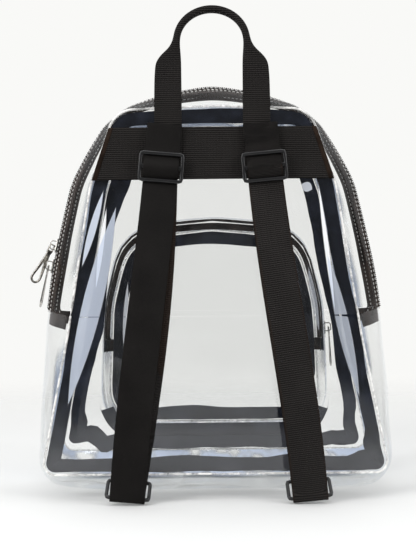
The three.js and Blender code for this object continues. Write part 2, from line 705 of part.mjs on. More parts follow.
// Handle: two flat legs that fold into a narrow grip
const handleFoot = yokeTop - HANDLE_OVERLAP;
const neckZ = yokeTop + HANDLE_NECK_HEIGHT;
const handleY = (z) => yokeFace(HANDLE_SPREAD, Math.min(z, yokeTop)) - GAP - HANDLE_THICKNESS / 2;
const legWide = curveThrough(HANDLE_ROWS, "at", "wide");
const legFold = curveThrough(HANDLE_ROWS, "at", "fold");
function handle() {
  const sections = [];
  for (const share of HANDLE_STATIONS) {
    const z = lerp(handleFoot, neckZ, share);
    const fold = (1 - legWide(share)) / (1 - legWide(1));
    const x = lerp(HANDLE_SPREAD, HANDLE_NECK_SPREAD, fold);
    sections.push({
      p: new THREE.Vector3(-x, handleY(z), z),
      turn: 0,
      wide: HANDLE_WIDTH * legWide(share),
      deep: lerp(HANDLE_THICKNESS, GRIP_WIDTH, legFold(share)),
    });
  }
  for (let n = 1; n <= GRIP_STEPS / 2; n += 1) {
    const turn = (Math.PI * n) / GRIP_STEPS;
    const [x, z] = [HANDLE_NECK_SPREAD * Math.cos(turn), neckZ + HANDLE_RISE * Math.sin(turn)];
    sections.push({
      p: new THREE.Vector3(-x, handleY(neckZ), z),
      turn,
      wide: GRIP_THICKNESS,
      deep: GRIP_WIDTH,
    });
  }
  const right = sections.slice(0, -1).reverse();
  const whole = [
    ...sections,
    ...right.map((s) => ({ ...s, p: s.p.clone().setX(-s.p.x), turn: Math.PI - s.turn })),
  ];
  return loft(
    whole.map(({ p, turn, wide, deep }) => {
      const out = new THREE.Vector3(-Math.cos(turn), 0, Math.sin(turn));
      const [a, b] = [wide / 2, deep / 2];
      const cut = Math.min(a, b) * HANDLE_CHAMFER;
      const quarter = [[a, b - cut], [a - cut, b]];
      const half = [...quarter, ...quarter.toReversed().map(([u, v]) => [-u, v])];
      return [...half, ...half.map(([u, v]) => [-u, -v])].map(([u, v]) =>
        p.clone().addScaledVector(out, u).setY(p.y + v),
      );
    }),
  );
}
add("handle", handle(), blackWebbing);

// Straps, each one band from the yoke through the tri-glide to the ring and back to the glide's middle bar
const halfBar = BAR / 2;
const barPitch = (GLIDE_HEIGHT - BAR) / 2;
const glideZ = yokeTop - GLIDE_DROP;
const wrapRadius = halfBar + GAP + STRAP_THICKNESS / 2; // of the strap's middle round a bar
const layerStep = STRAP_THICKNESS + GAP;
const glideX = STRAP_TOP_X + Math.tan(degrees(TOP_SLANT)) * (yokeTop - glideZ);
const glideY = yokeFace(glideX, glideZ - barPitch) - 2 * (layerStep + GAP) - halfBar;
const ringZ = RING_CLEAR + STRAP_THICKNESS + GAP + halfBar;
const ringY = -halfDepth - RING_STAND_OFF;

// A point of a hardware frame: along the width, along -Y and up, turned by a slant about the Y axis.
function turned(centre, slant, across, out, up) {
  return new THREE.Vector3(
    centre.x + across * Math.cos(slant) - up * Math.sin(slant),
    centre.y - out,
    centre.z + across * Math.sin(slant) + up * Math.cos(slant),
  );
}

// Points of webbing round a bar, at those angles from the side that faces the bag, through below.
const roundBar = (bar, slant, radius, angles) =>
  angles.map(degrees).map((angle) => ({
    p: turned(bar, slant, 0, -radius * Math.cos(angle), radius * Math.sin(angle)),
    slant,
  }));

function strapPath({ drift, bottomX }) {
  const top = degrees(TOP_SLANT);
  const low = degrees(BOTTOM_SLANT);
  const glide = new THREE.Vector3(glideX, glideY, glideZ);
  const ring = new THREE.Vector3(bottomX, ringY, ringZ);
  const under = -(wrapRadius + STRAP_SLACK);
  const cross = barPitch - halfBar - GAP;
  const atGlide = (up, out) => ({ p: turned(glide, top, 0, out, up), slant: top });
  const sewnY = (z) => yokeFace(STRAP_TOP_X, z) - HANDLE_THICKNESS - 2 * GAP - STRAP_THICKNESS / 2;
  const anchor = [STRAP_RISE, -STRAP_OVERLAP / 2, -STRAP_OVERLAP].map((above) => {
    const z = yokeTop + above;
    const up = (z - glideZ) / Math.cos(top);
    const p = turned(glide, top, 0, 0, up);
    return { p: new THREE.Vector3(p.x, sewnY(Math.min(z, yokeTop)), p.z), slant: top };
  });
  const weave = [
    atGlide(barPitch, under),
    atGlide(cross, under),
    atGlide(halfBar + GAP, -under),
    atGlide(0, -under),
    atGlide(-halfBar - GAP, -under),
    atGlide(-cross, under),
    atGlide(-barPitch, under),
  ];
  const start = turned(glide, top, 0, under, -barPitch - BAR);
  const runAt = (t, from, to, aside) => {
    const fall = from.z - to.z;
    const course = new THREE.CubicBezierCurve(
      new THREE.Vector2(from.x, from.z),
      new THREE.Vector2(from.x + (Math.tan(top) * fall) / 3, from.z - fall / 3),
      new THREE.Vector2(to.x - (Math.tan(low) * fall) / 3, to.z + fall / 3),
      new THREE.Vector2(to.x, to.z),
    );
    const [at, heading] = [course.getPoint(t), course.getTangent(t)];
    const x = at.x + aside * Math.sin(Math.PI * t);
    const y = lerp(from.y, to.y, t) - STRAP_BOW * Math.sin(Math.PI * t);
    const rate = -heading.x / heading.y + (aside * Math.PI * Math.cos(Math.PI * t)) / fall;
    return { p: new THREE.Vector3(x, y, at.y), slant: Math.atan(rate) };
  };
  const outerEnd = turned(ring, low, 0, wrapRadius, wrapRadius);
  const innerEnd = turned(ring, low, 0, -wrapRadius, wrapRadius);
  const innerStart = turned(glide, top, 0, under - layerStep, -barPitch - BAR);
  const outer = [];
  const inner = [];
  for (const t of toEdges(0, 1, RUN_POINTS)) {
    outer.push(runAt(t, start, outerEnd, 0));
    inner.push(runAt(1 - t, innerStart, innerEnd, -drift));
  }
  const wrap = roundBar(ring, low, wrapRadius, RING_WRAP);
  const end = [
    atGlide(-barPitch, under - layerStep),
    atGlide(-cross, under - layerStep),
    atGlide(-halfBar, under - GAP),
    atGlide(halfBar, under - GAP),
  ];
  return [...anchor, ...weave, ...outer, ...wrap, ...inner, ...end];
}

// A point of a ring's plane, at a distance up from its lower bar, as on the right side.
const onRing = (bottomX, up) =>
  turned(
    new THREE.Vector3(bottomX, ringY, ringZ),
    degrees(BOTTOM_SLANT),
    0,
    -up * Math.cos(degrees(RING_PITCH)),
    up * Math.sin(degrees(RING_PITCH)),
  );

const mirrored = (path) => path.map(({ p, slant }) => ({ p: p.clone().setX(-p.x), slant: -slant }));
const strapSides = [
  { label: "right", side: 1, drift: RIGHT_DRIFT, bottomX: RIGHT_STRAP_BOTTOM_X },
  { label: "left", side: -1, drift: LEFT_DRIFT, bottomX: LEFT_STRAP_BOTTOM_X },
];

// A flat frame with windows, its edges eased, centred on its own origin and facing +Z
function frame(width, height, windows) {
  const ease = BAR_EASE;
  const rectangle = (w, h, y, radius, into) => {
    const [left, right, low, high] = [-w / 2, w / 2, y - h / 2, y + h / 2];
    into.moveTo(left + radius, low);
    into.lineTo(right - radius, low);
    into.quadraticCurveTo(right, low, right, low + radius);
    into.lineTo(right, high - radius);
    into.quadraticCurveTo(right, high, right - radius, high);
    into.lineTo(left + radius, high);
    into.quadraticCurveTo(left, high, left, high - radius);
    into.lineTo(left, low + radius);
    into.quadraticCurveTo(left, low, left + radius, low);
    return into;
  };
  const shape = rectangle(width - 2 * ease, height - 2 * ease, 0, BAR, new THREE.Shape());
  for (const { y, h } of windows)
    shape.holes.push(rectangle(width - 2 * BAR + 2 * ease, h + 2 * ease, y, BAR / 2, new THREE.Path()));
  const geometry = new THREE.ExtrudeGeometry(shape, {
    depth: BAR - 2 * ease,
    bevelThickness: ease,
    bevelSize: ease,
    bevelSegments: 1,
    curveSegments: 2,
  });
  return geometry.translate(0, 0, ease - halfBar);
}

const glideWindows = [1, -1].map((side) => ({ y: (side * barPitch) / 2, h: barPitch - BAR }));
const ringReach = RING_HEIGHT - BAR; // from bar to bar
for (const strap of strapSides) {
  const { label, side, bottomX } = strap;
  const path = strapPath(strap);
  add(`strap_${label}`, band(side > 0 ? path : mirrored(path), STRAP_WIDTH, STRAP_THICKNESS), blackWebbing);
  const glide = add(`triglide_${label}`, frame(GLIDE_WIDTH, GLIDE_HEIGHT, glideWindows), blackPlastic);
  glide.position.set(side * glideX, glideY, glideZ);
  glide.rotation.set(Math.PI / 2, -side * degrees(TOP_SLANT), 0, "YXZ");
  const ringFrame = frame(GLIDE_WIDTH, RING_HEIGHT, [{ y: 0, h: RING_HEIGHT - 2 * BAR }]);
  const ring = add(`ring_${label}`, ringFrame, blackPlastic);
  const middle = onRing(bottomX, ringReach / 2);
  ring.position.set(side * middle.x, middle.y, middle.z);
  ring.rotation.set(degrees(RING_PITCH), -side * degrees(BOTTOM_SLANT), 0, "YXZ");
}

// Tabs: short loops from the bottom seam round the ring's upper bar
function tabPath(bottomX) {
  const slant = degrees(BOTTOM_SLANT);
  const bar = onRing(bottomX, ringReach);
  const layer = GAP + TAB_THICKNESS / 2;
  const onPanel = [TAB_REACH, TAB_TURN].map((above) => {
    const z = SEAM_LIFT + above;
    const x = bar.x + (bar.z - z) * Math.tan(slant);
    return { p: new THREE.Vector3(x, backFace(bottomX, z) - layer, z), slant };
  });
  const wrap = roundBar(bar, slant, halfBar + layer, TAB_WRAP);
  const tail = SEAM_LIFT - TAB_TAIL - bar.z;
  return [...onPanel, ...wrap, { p: turned(bar, slant, 0, bar.y + halfDepth - VINYL, tail), slant }];
}
for (const { label, side, bottomX } of strapSides) {
  const path = tabPath(bottomX);
  add(`tab_${label}`, band(side > 0 ? path : mirrored(path), TAB_WIDTH, TAB_THICKNESS), blackWebbing);
}

// Sliders with their pulls, each in a group whose +X runs down the zip and +Z points out
const wasm = await Module();
wasm.setup();

function solidOf(geometry) {
  const bare = geometry.clone();
  bare.deleteAttribute("normal");
  bare.deleteAttribute("uv");
  const { attributes, index } = mergeVertices(bare);
  const triVerts = new Uint32Array(index.array);
  return new wasm.Manifold(
    new wasm.Mesh({ numProp: 3, vertProperties: attributes.position.array, triVerts }),
  );
}

function joined(first, second) {
  const { vertProperties, triVerts } = solidOf(first).add(solidOf(second)).getMesh();
  const geometry = new THREE.BufferGeometry();
  geometry.setAttribute("position", new THREE.BufferAttribute(vertProperties, 3));
  geometry.setIndex(new THREE.BufferAttribute(triVerts, 1));
  geometry.computeVertexNormals();
  return geometry;
}

// The slider's plate tapers to the closed end of the zip, and its arch stands along it.
function sliderShape() {
  const { length, width, plate, ease, arch, archWidth, leg, crown, cutIn, cutDown, cutInside } = SLIDER;
  const lower = PLATE_ROWS.map(
    ({ at, wide }) => new THREE.Vector2(at * (length / 2 - ease), -wide * (width / 2 - ease)),
  );
  const upper = lower.toReversed().map(({ x, y }) => new THREE.Vector2(x, -y));
  const base = new THREE.ExtrudeGeometry(new THREE.Shape([...lower, ...upper]), {
    depth: plate - 2 * ease,
    bevelThickness: ease,
    bevelSize: ease,
    bevelSegments: 1,
  });
  const [half, foot, top] = [arch / 2, plate / 2, ARCH_HEIGHT];
  const outside = [
    [-half, foot],
    [-half, top - cutDown],
    [-half + cutIn, top],
  ];
  const inside = [
    [half - leg, foot],
    [half - leg, top - cutDown - cutInside],
    [half - cutIn - cutInside, top - crown],
  ];
  const flipped = (line) => line.toReversed().map(([x, y]) => [-x, y]);
  const side = [...outside, ...flipped(outside), ...inside, ...flipped(inside)];
  const outline = new THREE.Shape(side.map(([x, y]) => new THREE.Vector2(x, y)));
  const bridge = new THREE.ExtrudeGeometry(outline, { depth: archWidth, bevelEnabled: false });
  bridge.rotateX(Math.PI / 2).translate(0, archWidth / 2, 0);
  return joined(base.translate(0, 0, ease), bridge);
}

// The pull is an eye round the arch, a neck, and a loop with a drop-shaped hole. Its bar is at the origin.
function pullShape() {
  const { loopAt, loop, loopHole, holeStart, holeNose, eye, eyeHole, eyeCorner } = PULL;
  const { taper, rail, bar, neck, thickness, steps } = PULL;
  const [turn, holeTurn] = [degrees(PULL.loopTurn), degrees(PULL.holeTurn)];
  const [start, half, eyeEnd] = [-bar / 2, eyeHole / 2 + rail, bar / 2 + eye];
  const shape = new THREE.Shape();
  shape.moveTo(start, -half + eyeCorner);
  shape.lineTo(start + eyeCorner, -half);
  shape.lineTo(eyeEnd, -half);
  shape.lineTo(eyeEnd + taper, -neck / 2);
  shape.lineTo(loopAt + loop * Math.cos(turn), -loop * Math.sin(turn));
  shape.absarc(loopAt, 0, loop, -turn, turn, false);
  shape.lineTo(eyeEnd + taper, neck / 2);
  shape.lineTo(eyeEnd, half);
  shape.lineTo(start + eyeCorner, half);
  shape.lineTo(start, half - eyeCorner);
  const hole = new THREE.Path();
  hole.moveTo(bar / 2, -eyeHole / 2);
  hole.lineTo(bar / 2, eyeHole / 2);
  hole.lineTo(eyeEnd - rail, eyeHole / 2);
  hole.lineTo(eyeEnd - rail, -eyeHole / 2);
  const drop = new THREE.Path();
  drop.moveTo(holeStart, -holeNose);
  drop.lineTo(holeStart, holeNose);
  drop.lineTo(loopAt + loopHole * Math.cos(holeTurn), loopHole * Math.sin(holeTurn));
  drop.absarc(loopAt, 0, loopHole, holeTurn, -holeTurn, true);
  shape.holes.push(hole, drop);
  const geometry = new THREE.ExtrudeGeometry(shape, {
    depth: thickness,
    bevelEnabled: false,
    curveSegments: steps,
  });
  return geometry.translate(0, 0, -thickness / 2);
}

function sliderOnZip(prefix, suffix, gusset, side, height, { tilt, roll, flip }) {
  const walk = gusset.stations.filter((p) => p.x * side > 0).sort((a, b) => a.z - b.z);
  const [low, high] = [-0.5, 0.5].map((share) => {
    const z = height + share * SLIDER.length;
    const k = walk.findIndex((p) => p.z > z);
    const [under, over] = [walk[k - 1], walk[k]];
    const [a, b] = [under, over].map((station) => gusset.place(station, 0, gusset.coilTop - GAP));
    return a.lerp(b, (z - under.z) / (over.z - under.z));
  });
  const group = new THREE.Group();
  const down = low.clone().sub(high).normalize();
  const across = new THREE.Vector3(0, side, 0);
  group.position.lerpVectors(low, high, 0.5);
  const axes = new THREE.Matrix4().makeBasis(down, across, down.clone().cross(across));
  group.quaternion.setFromRotationMatrix(axes);
  bag.add(group);
  const slider = add(`${prefix}_slider${suffix}`, sliderShape(), nickel, group);
  slider.rotation.z = flip ? Math.PI : 0;
  const pull = add(`${prefix}_pull${suffix}`, pullShape(), nickel, group);
  pull.position.z = PIVOT_HEIGHT;
  const lean = Math.atan2(Math.abs(down.x), -down.z);
  pull.rotation.set(degrees(roll), lean - degrees(tilt), 0, "YXZ");
}
sliderOnZip("zip", "_upper", bodyGusset, -1, SEAM_LIFT + UPPER_SLIDER_HEIGHT, {
  tilt: UPPER_PULL_TILT,
  roll: UPPER_PULL_ROLL,
  flip: false,
});
sliderOnZip("zip", "_lower", bodyGusset, -1, SEAM_LIFT + UPPER_SLIDER_HEIGHT - SLIDER_SPACING, {
  tilt: LOWER_PULL_TILT,
  roll: 0,
  flip: true,
});
sliderOnZip("pocket_zip", "", pocketGusset, 1, pocketLow + POCKET_SLIDER_HEIGHT, {
  tilt: POCKET_PULL_TILT,
  roll: 0,
  flip: true,
});

export default bag;
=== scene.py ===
import math

import bmesh
import bpy
from mathutils import Matrix, Vector, kdtree


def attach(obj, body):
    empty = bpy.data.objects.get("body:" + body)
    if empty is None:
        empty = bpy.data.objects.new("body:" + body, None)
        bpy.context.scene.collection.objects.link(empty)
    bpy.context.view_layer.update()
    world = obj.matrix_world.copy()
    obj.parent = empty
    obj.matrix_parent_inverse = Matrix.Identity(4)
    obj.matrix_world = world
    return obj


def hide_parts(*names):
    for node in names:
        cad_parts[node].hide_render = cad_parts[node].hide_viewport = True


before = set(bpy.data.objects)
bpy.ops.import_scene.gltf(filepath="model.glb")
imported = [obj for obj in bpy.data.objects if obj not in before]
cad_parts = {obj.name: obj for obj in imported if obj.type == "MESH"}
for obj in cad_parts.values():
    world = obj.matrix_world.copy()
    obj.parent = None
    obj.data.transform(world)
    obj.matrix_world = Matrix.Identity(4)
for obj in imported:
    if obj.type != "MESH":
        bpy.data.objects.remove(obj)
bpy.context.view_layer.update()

bl_info = {
    "name": "Clear backpack",
    "version": (1, 0, 0),
    "blender": (4, 5, 0),
    "location": "3D View > Sidebar > Clear backpack",
    "description": "Dresses the packed clear backpack: vinyl, webbing, zips, bindings, hardware, stage",
    "category": "Object",
}

MM = 0.001
IMAGE_LONG_SIDE = 544

# Clear sheets. facing: which way the outer skin looks; middle: height that "round" skins look away from;
# loose: how far the sheet waves between its seams, in mm; wave: length of its waves, in mm; ripple: depth
# of the small creases, in mm; shade: how much painted reflection, in a light tone, it shows by the front
# seam; mirror: how much it reflects, as a share of what the settings say
SHEETS = [
    {"name": "back_sheet", "node": "back_panel", "facing": "back", "middle": 0, "loose": 1.6, "wave": 90,
     "ripple": 0.6, "shade": 0, "mirror": 1},
    {"name": "front_sheet", "node": "front_panel", "facing": "front", "middle": 0, "loose": 2.2, "wave": 80,
     "ripple": 0.9, "shade": 0, "mirror": 1},
    {"name": "base_sheet", "node": "base_gusset", "facing": "round", "middle": 110, "loose": 3.2, "wave": 60,
     "ripple": 1.6, "shade": 1, "mirror": 0.5},
    {"name": "zip_sheet_back", "node": "zip_strip_back", "facing": "round", "middle": 110, "loose": 1.8,
     "wave": 50, "ripple": 1.6, "shade": 1, "mirror": 0.15},
    {"name": "zip_sheet_front", "node": "zip_strip_front", "facing": "round", "middle": 110, "loose": 1.8,
     "wave": 50, "ripple": 1.6, "shade": 1, "mirror": 0.15},
    {"name": "pocket_sheet", "node": "pocket_face", "facing": "front", "middle": 0, "loose": 1.6, "wave": 70,
     "ripple": 0.9, "shade": 0, "mirror": 0.8},
    {"name": "pocket_base_sheet", "node": "pocket_base_gusset", "facing": "round", "middle": 105,
     "loose": 0.8, "wave": 40, "ripple": 1.4, "shade": 0.5, "mirror": 0.6},
    {"name": "pocket_zip_sheet_back", "node": "pocket_zip_strip_back", "facing": "round", "middle": 105,
     "loose": 0.4, "wave": 40, "ripple": 1.2, "shade": 0.5, "mirror": 0.2},
    {"name": "pocket_zip_sheet_front", "node": "pocket_zip_strip_front", "facing": "round", "middle": 105,
     "loose": 0.4, "wave": 40, "ripple": 1.2, "shade": 0.5, "mirror": 0.2},
]

# Woven tapes that bind seams or carry a zip. loose and wave as for the sheets
TAPES = [
    {"name": "back_seam_tape", "node": "back_binding", "finish": "binding", "loose": 1.6, "wave": 34},
    {"name": "front_seam_tape", "node": "front_binding", "finish": "binding", "loose": 1.6, "wave": 34},
    {"name": "pocket_seam_tape", "node": "pocket_face_binding", "finish": "binding",
     "loose": 1.0, "wave": 30},
    {"name": "zip_cloth_back", "node": "zip_tape_back", "finish": "zip", "loose": 0.5, "wave": 40},
    {"name": "zip_cloth_front", "node": "zip_tape_front", "finish": "zip", "loose": 0.5, "wave": 40},
    {"name": "zip_stop_right", "node": "zip_end_right", "finish": "zip", "loose": 0.6, "wave": 20},
    {"name": "zip_stop_left", "node": "zip_end_left", "finish": "zip", "loose": 0.6, "wave": 20},
    {"name": "pocket_cloth_back", "node": "pocket_zip_tape_back", "finish": "zip", "loose": 0.2, "wave": 30},
    {"name": "pocket_cloth_front", "node": "pocket_zip_tape_front", "finish": "zip",
     "loose": 0.2, "wave": 30},
    {"name": "pocket_stop_right", "node": "pocket_zip_end_right", "finish": "binding",
     "loose": 0.3, "wave": 20},
    {"name": "pocket_stop_left", "node": "pocket_zip_end_left", "finish": "binding",
     "loose": 0.3, "wave": 20},
]

# Metal and plastic pieces, each with the size of its rounded edges in mm
HARDWARE = [
    {"name": "upper_slider", "node": "zip_slider_upper", "body": "bag", "finish": "metal", "round": 0.22},
    {"name": "lower_slider", "node": "zip_slider_lower", "body": "bag", "finish": "metal", "round": 0.22},
    {"name": "pocket_slider", "node": "pocket_zip_slider", "body": "bag", "finish": "metal", "round": 0.22},
    {"name": "upper_drop_pull", "node": "zip_pull_upper", "body": "upper_pull", "finish": "metal",
     "round": 0.3},
    {"name": "lower_drop_pull", "node": "zip_pull_lower", "body": "lower_pull", "finish": "metal",
     "round": 0.3},
    {"name": "pocket_drop_pull", "node": "pocket_zip_pull", "body": "pocket_pull", "finish": "metal",
     "round": 0.3},
    {"name": "right_triglide", "node": "triglide_right", "body": "bag", "finish": "plastic", "round": 0.5},
    {"name": "left_triglide", "node": "triglide_left", "body": "bag", "finish": "plastic", "round": 0.5},
    {"name": "right_ring", "node": "ring_right", "body": "bag", "finish": "plastic", "round": 0.5},
    {"name": "left_ring", "node": "ring_left", "body": "bag", "finish": "plastic", "round": 0.5},
]

# Bands of webbing that keep one width from end to end
BANDS = [
    {"name": "right_strap", "node": "strap_right"},
    {"name": "left_strap", "node": "strap_left"},
    {"name": "right_tab", "node": "tab_right"},
    {"name": "left_tab", "node": "tab_left"},
]

# Rows of white stitches beside the zips: the tape they lie on and their place across it, 0 at one edge
STITCH_ROWS = [
    {"name": "zip_stitches_back", "node": "zip_tape_back", "places": (1.9, 9.4)},
    {"name": "zip_stitches_front", "node": "zip_tape_front", "places": (1.9, 9.4)},
]

# Heights of the stitches over the tape's outer side, in mm: one outside and one inside
STITCH_LIFTS = (0.3, -1.0)

# Height that the zip's outer side looks away from, in metres
RIM_CENTRE = 0.12

# Clear beads where sheets are folded over at a seam, their near-white colour a painted highlight: the binding
# whose outline they follow, which way its outer edge is taken, how far the bead lies outside that edge, and
# its radius, in mm
BEADS = [
    {"name": "back_bead", "node": "back_binding", "y": -60.4, "out": 1.6, "radius": 0.85},
    {"name": "front_bead", "node": "front_binding", "y": 60.4, "out": 1.6, "radius": 0.85},
    {"name": "pocket_bead", "node": "pocket_face_binding", "y": 88.2, "out": 1.6, "radius": 0.8},
]

# Width of the binding at the yoke's ends, as a share of the yoke's last column
YOKE_END_SHARE = 0.32

# Box of the binding along the pocket's seam on the body, in mm: low and high for X, Y and Z
POCKET_SEAM = ((-94.5, 94.5), (55.4, 58.2), (28.5, 62))

# Places where a binding is crumpled or pushed aside, in mm: middle, reach along X and Z, and shift
KINKS = [
    {"piece": "front_seam_tape", "middle": (-108, 30), "reach": (26, 26), "shift": (7, 0, 9)},
    {"piece": "front_seam_tape", "middle": (-92, 26), "reach": (13, 13), "shift": (0, 0, -7)},
    {"piece": "front_seam_tape", "middle": (-78, 26), "reach": (12, 12), "shift": (0, 0, 4)},
    {"piece": "front_seam_tape", "middle": (-88, 100), "reach": (14, 70), "shift": (8, 0, 0)},
    {"piece": "front_seam_tape", "middle": (-70, 225), "reach": (14, 45), "shift": (7, 0, 0)},
    {"piece": "front_seam_tape", "middle": (118, 34), "reach": (24, 26), "shift": (-6, 0, 4)},
    {"piece": "front_seam_tape", "middle": (96, 27), "reach": (12, 12), "shift": (0, 0, 4)},
    {"piece": "front_seam_tape", "middle": (92, 120), "reach": (12, 70), "shift": (3, 0, 0)},
    {"piece": "back_seam_tape", "middle": (-92, 125), "reach": (14, 75), "shift": (-5, 0, 0)},
    {"piece": "back_seam_tape", "middle": (-104, 118), "reach": (8, 60), "shift": (-2, 0, 0)},
    {"piece": "back_seam_tape", "middle": (104, 118), "reach": (8, 60), "shift": (2, 0, 0)},
    {"piece": "back_seam_tape", "middle": (60, 30), "reach": (26, 12), "shift": (0, 0, 2.4)},
    {"piece": "back_seam_tape", "middle": (-20, 30), "reach": (34, 12), "shift": (0, 0, 2)},
    {"piece": "back_seam_tape", "middle": (112, 34), "reach": (18, 16), "shift": (-4, 0, 5)},
    {"piece": "pocket_seam_tape", "middle": (84, 62), "reach": (12, 20), "shift": (-4, 0, 3)},
    {"piece": "pocket_seam_tape", "middle": (-20, 50), "reach": (36, 12), "shift": (0, 0, 2)},
]

# Painted reflections on a sheet, in a light tone along its folds: ends in X and Z and widest width, in mm;
# strength, and tone from 0 for white to 1 for the painted reflection colour
FOLD_REFLECTIONS = {
    "back_sheet": [
        {"ends": (-70, 214, -107, 68), "width": 15, "strength": 0.75, "tone": 1.0},
        {"ends": (-79, 226, -96, 168), "width": 6, "strength": 0.9, "tone": 0.75},
        {"ends": (-77, 214, -86, 150), "width": 4.5, "strength": 1.0, "tone": 0.0},
        {"ends": (64, 228, 72, 224), "width": 8, "strength": 0.7, "tone": 0.5},
        {"ends": (76, 232, 88, 130), "width": 4, "strength": 1.0, "tone": 0.0},
        {"ends": (82, 178, 105, 72), "width": 10, "strength": 0.6, "tone": 1.0},
        {"ends": (68, 170, 76, 120), "width": 5, "strength": 0.5, "tone": 0.8},
        {"ends": (-62, 160, -66, 110), "width": 4, "strength": 0.6, "tone": 0.5},
    ],
}

# Softness of a fold's edge and place of the painted reflection by the front seam, in mm; how much a painted
# reflection covers the sheet; white of the painted highlight
FOLD_EDGE = 0.7
SEAM_REFLECTION_BAND = (26, 36)
FOLD_REFLECTION_COVER = 0.85
FOLD_HIGHLIGHT_WHITE = (0.95, 0.96, 0.97)

# Patterns of the materials: scale per metre, detail and roughness
NOISES = {
    "sheet_waves": {"scale": 26.0, "detail": 1.0, "roughness": 0.4},
    "sheet_ridges": {"scale": 17.0, "detail": 0.0, "roughness": 0.5},
    "sheet_smudges": {"scale": 24.0, "detail": 4.0, "roughness": 0.6},
    "sheet_streaks": {"scale": 34.0, "detail": 2.0, "roughness": 0.5},
    "bead_clouds": {"scale": 140.0, "detail": 2.0, "roughness": 0.6},
    "webbing_fuzz": {"scale": 900.0, "detail": 2.0, "roughness": 0.6},
    "webbing_wear": {"scale": 30.0, "detail": 2.0, "roughness": 0.5},
    "tape_fuzz": {"scale": 1200.0, "detail": 2.0, "roughness": 0.6},
    "tape_wear": {"scale": 45.0, "detail": 3.0, "roughness": 0.55},
    "thread_fuzz": {"scale": 2500.0, "detail": 2.0, "roughness": 0.6},
    "coil_grime": {"scale": 160.0, "detail": 3.0, "roughness": 0.6},
    "plastic_grain": {"scale": 1400.0, "detail": 2.0, "roughness": 0.5},
    "plastic_handled": {"scale": 90.0, "detail": 3.0, "roughness": 0.6},
    "metal_scratches": {"scale": 2200.0, "detail": 2.0, "roughness": 0.6},
    "metal_tarnish": {"scale": 220.0, "detail": 3.0, "roughness": 0.6},
}

# Stretch of the sheets' creases along Z, as a Mapping node's scale
DRAWN_OUT = (1.0, 1.0, 0.3)

# Thread and hard materials. patches and relief: their patterns; dark and light: tones of the shade; rough:
# least roughness; uneven: how much the patches add to it; depth: of the relief, in mm; stretch: its scale
SPECKLED = {
    "thread": {"patches": "thread_fuzz", "dark": 0.75, "light": 1.0, "rough": 0.6, "uneven": 0,
               "metallic": 0.0, "specular": 0.5, "relief": "thread_fuzz", "depth": 0.1, "stretch": (1, 1, 1)},
    "nylon": {"patches": "coil_grime", "dark": 0.6, "light": 1.7, "rough": 0.28, "uneven": 0.2,
              "metallic": 0.0, "specular": 0.35, "relief": "coil_grime", "depth": 0.05, "stretch": (1, 1, 1)},
    "plastic": {"patches": "plastic_handled", "dark": 1.0, "light": 1.8, "rough": 0.24, "uneven": 0.16,
                "metallic": 0.0, "specular": 0.5, "relief": "plastic_grain", "depth": 0.03,
                "stretch": (1, 1, 1)},
    "metal": {"patches": "metal_tarnish", "dark": 0.72, "light": 1.0, "rough": 0.14, "uneven": 0.2,
              "metallic": 1.0, "specular": 0.5, "relief": "metal_scratches", "depth": 0.03,
              "stretch": (1, 1, 0.12)},
}

# Half width over which a band's rims turn brown, in mm, their colour, and the band and colour of a painted
# haze of reflected light that turns the tapes grey by the floor
RIM_BAND = (10.6, 12.6)
RIM_COLOUR = (0.02, 0.0125, 0.009)
FLOOR_HAZE_BAND = (30, 44)
FLOOR_HAZE_COLOUR = (0.07, 0.07, 0.078)

# Weave of the binding and of the zip's cloth, in mm
BINDING_WEAVE = 0.9
ZIP_WEAVE = 0.7

# Smoothing levels of sheets and of woven pieces; thinnest face edge that is a wall and not a skin, in mm
SHEET_LEVELS = 3
WOVEN_LEVELS = 2
WALL_EDGE = 1.3

# Distance over which the hold of a seam fades out on a sheet and on a tape, in mm
SHEET_HOLD = 16
TAPE_HOLD = 8

# Steps of the place in the noise from piece to piece, so that no two pieces wave alike
SEED_STEP = (0.37, 0.21, 0.53)
SHEET_SEED = 1
TAPE_SEED = 20

# Angles in degrees over which an edge stays sharp, is rounded, or is shaded as an edge
CREASE_ANGLE = 60
YOKE_EDGE_ANGLE = 50
HARDWARE_EDGE_ANGLE = 28
FLAT_ANGLE = 2
SHEET_SHADING = 40
TAPE_SHADING = 45
WEBBING_SHADING = 50
ROUND_SHADING = 60

# Rounded edges of webbing, and wall and rounded edges of the binding at the yoke's ends, in mm
WEBBING_ROUND = 0.45
YOKE_END_WALL = 2.9
YOKE_END_ROUND = 0.7

# The yoke's sides: height where it is widest, in mm, its taper, and where its end columns start
YOKE_FOOT = 232
YOKE_TAPER = 0.3
YOKE_END_START = 0.9

# Points of a rounded line between two corners, for stitches and teeth and for beads
COURSE_STEPS = 6
BEAD_STEPS = 4

# Length, radius and sides of one tooth of the coil, in mm; its rounded ends as shares of the radius
TOOTH = {"length": 5.2, "radius": 0.62, "sides": 8}
STITCH_SIDES = 8
END_RISE = 0.75
END_SHRINK = 0.62

# Floor: radius and distances over which it fades out, in metres
FLOOR_RADIUS = 1.6
FLOOR_SIDES = 96
FLOOR_FADE = (0.2, 1.0)

# Light of the room in the reflections: its level all round, ahead of the camera and from above
ROOM_COLOUR = (0.98, 0.99, 1.0)
ROOM_LEVEL = 0.13
AHEAD = {"level": 0.85, "start": 0.5, "full": 0.92}
ABOVE = {"level": 0.8, "start": 0.35, "full": 0.95}

# Camera: place and near limit in metres, roll in degrees, focal length in pixels, sensor height in mm
CAMERA_PLACE = (-0.0042, -0.92, 0.165)
CAMERA_NEAR = 0.05
CAMERA_ROLL = 0.55
FOCAL_PIXELS = 1186
SENSOR_HEIGHT = 36
CLEAR_LAYERS = 32

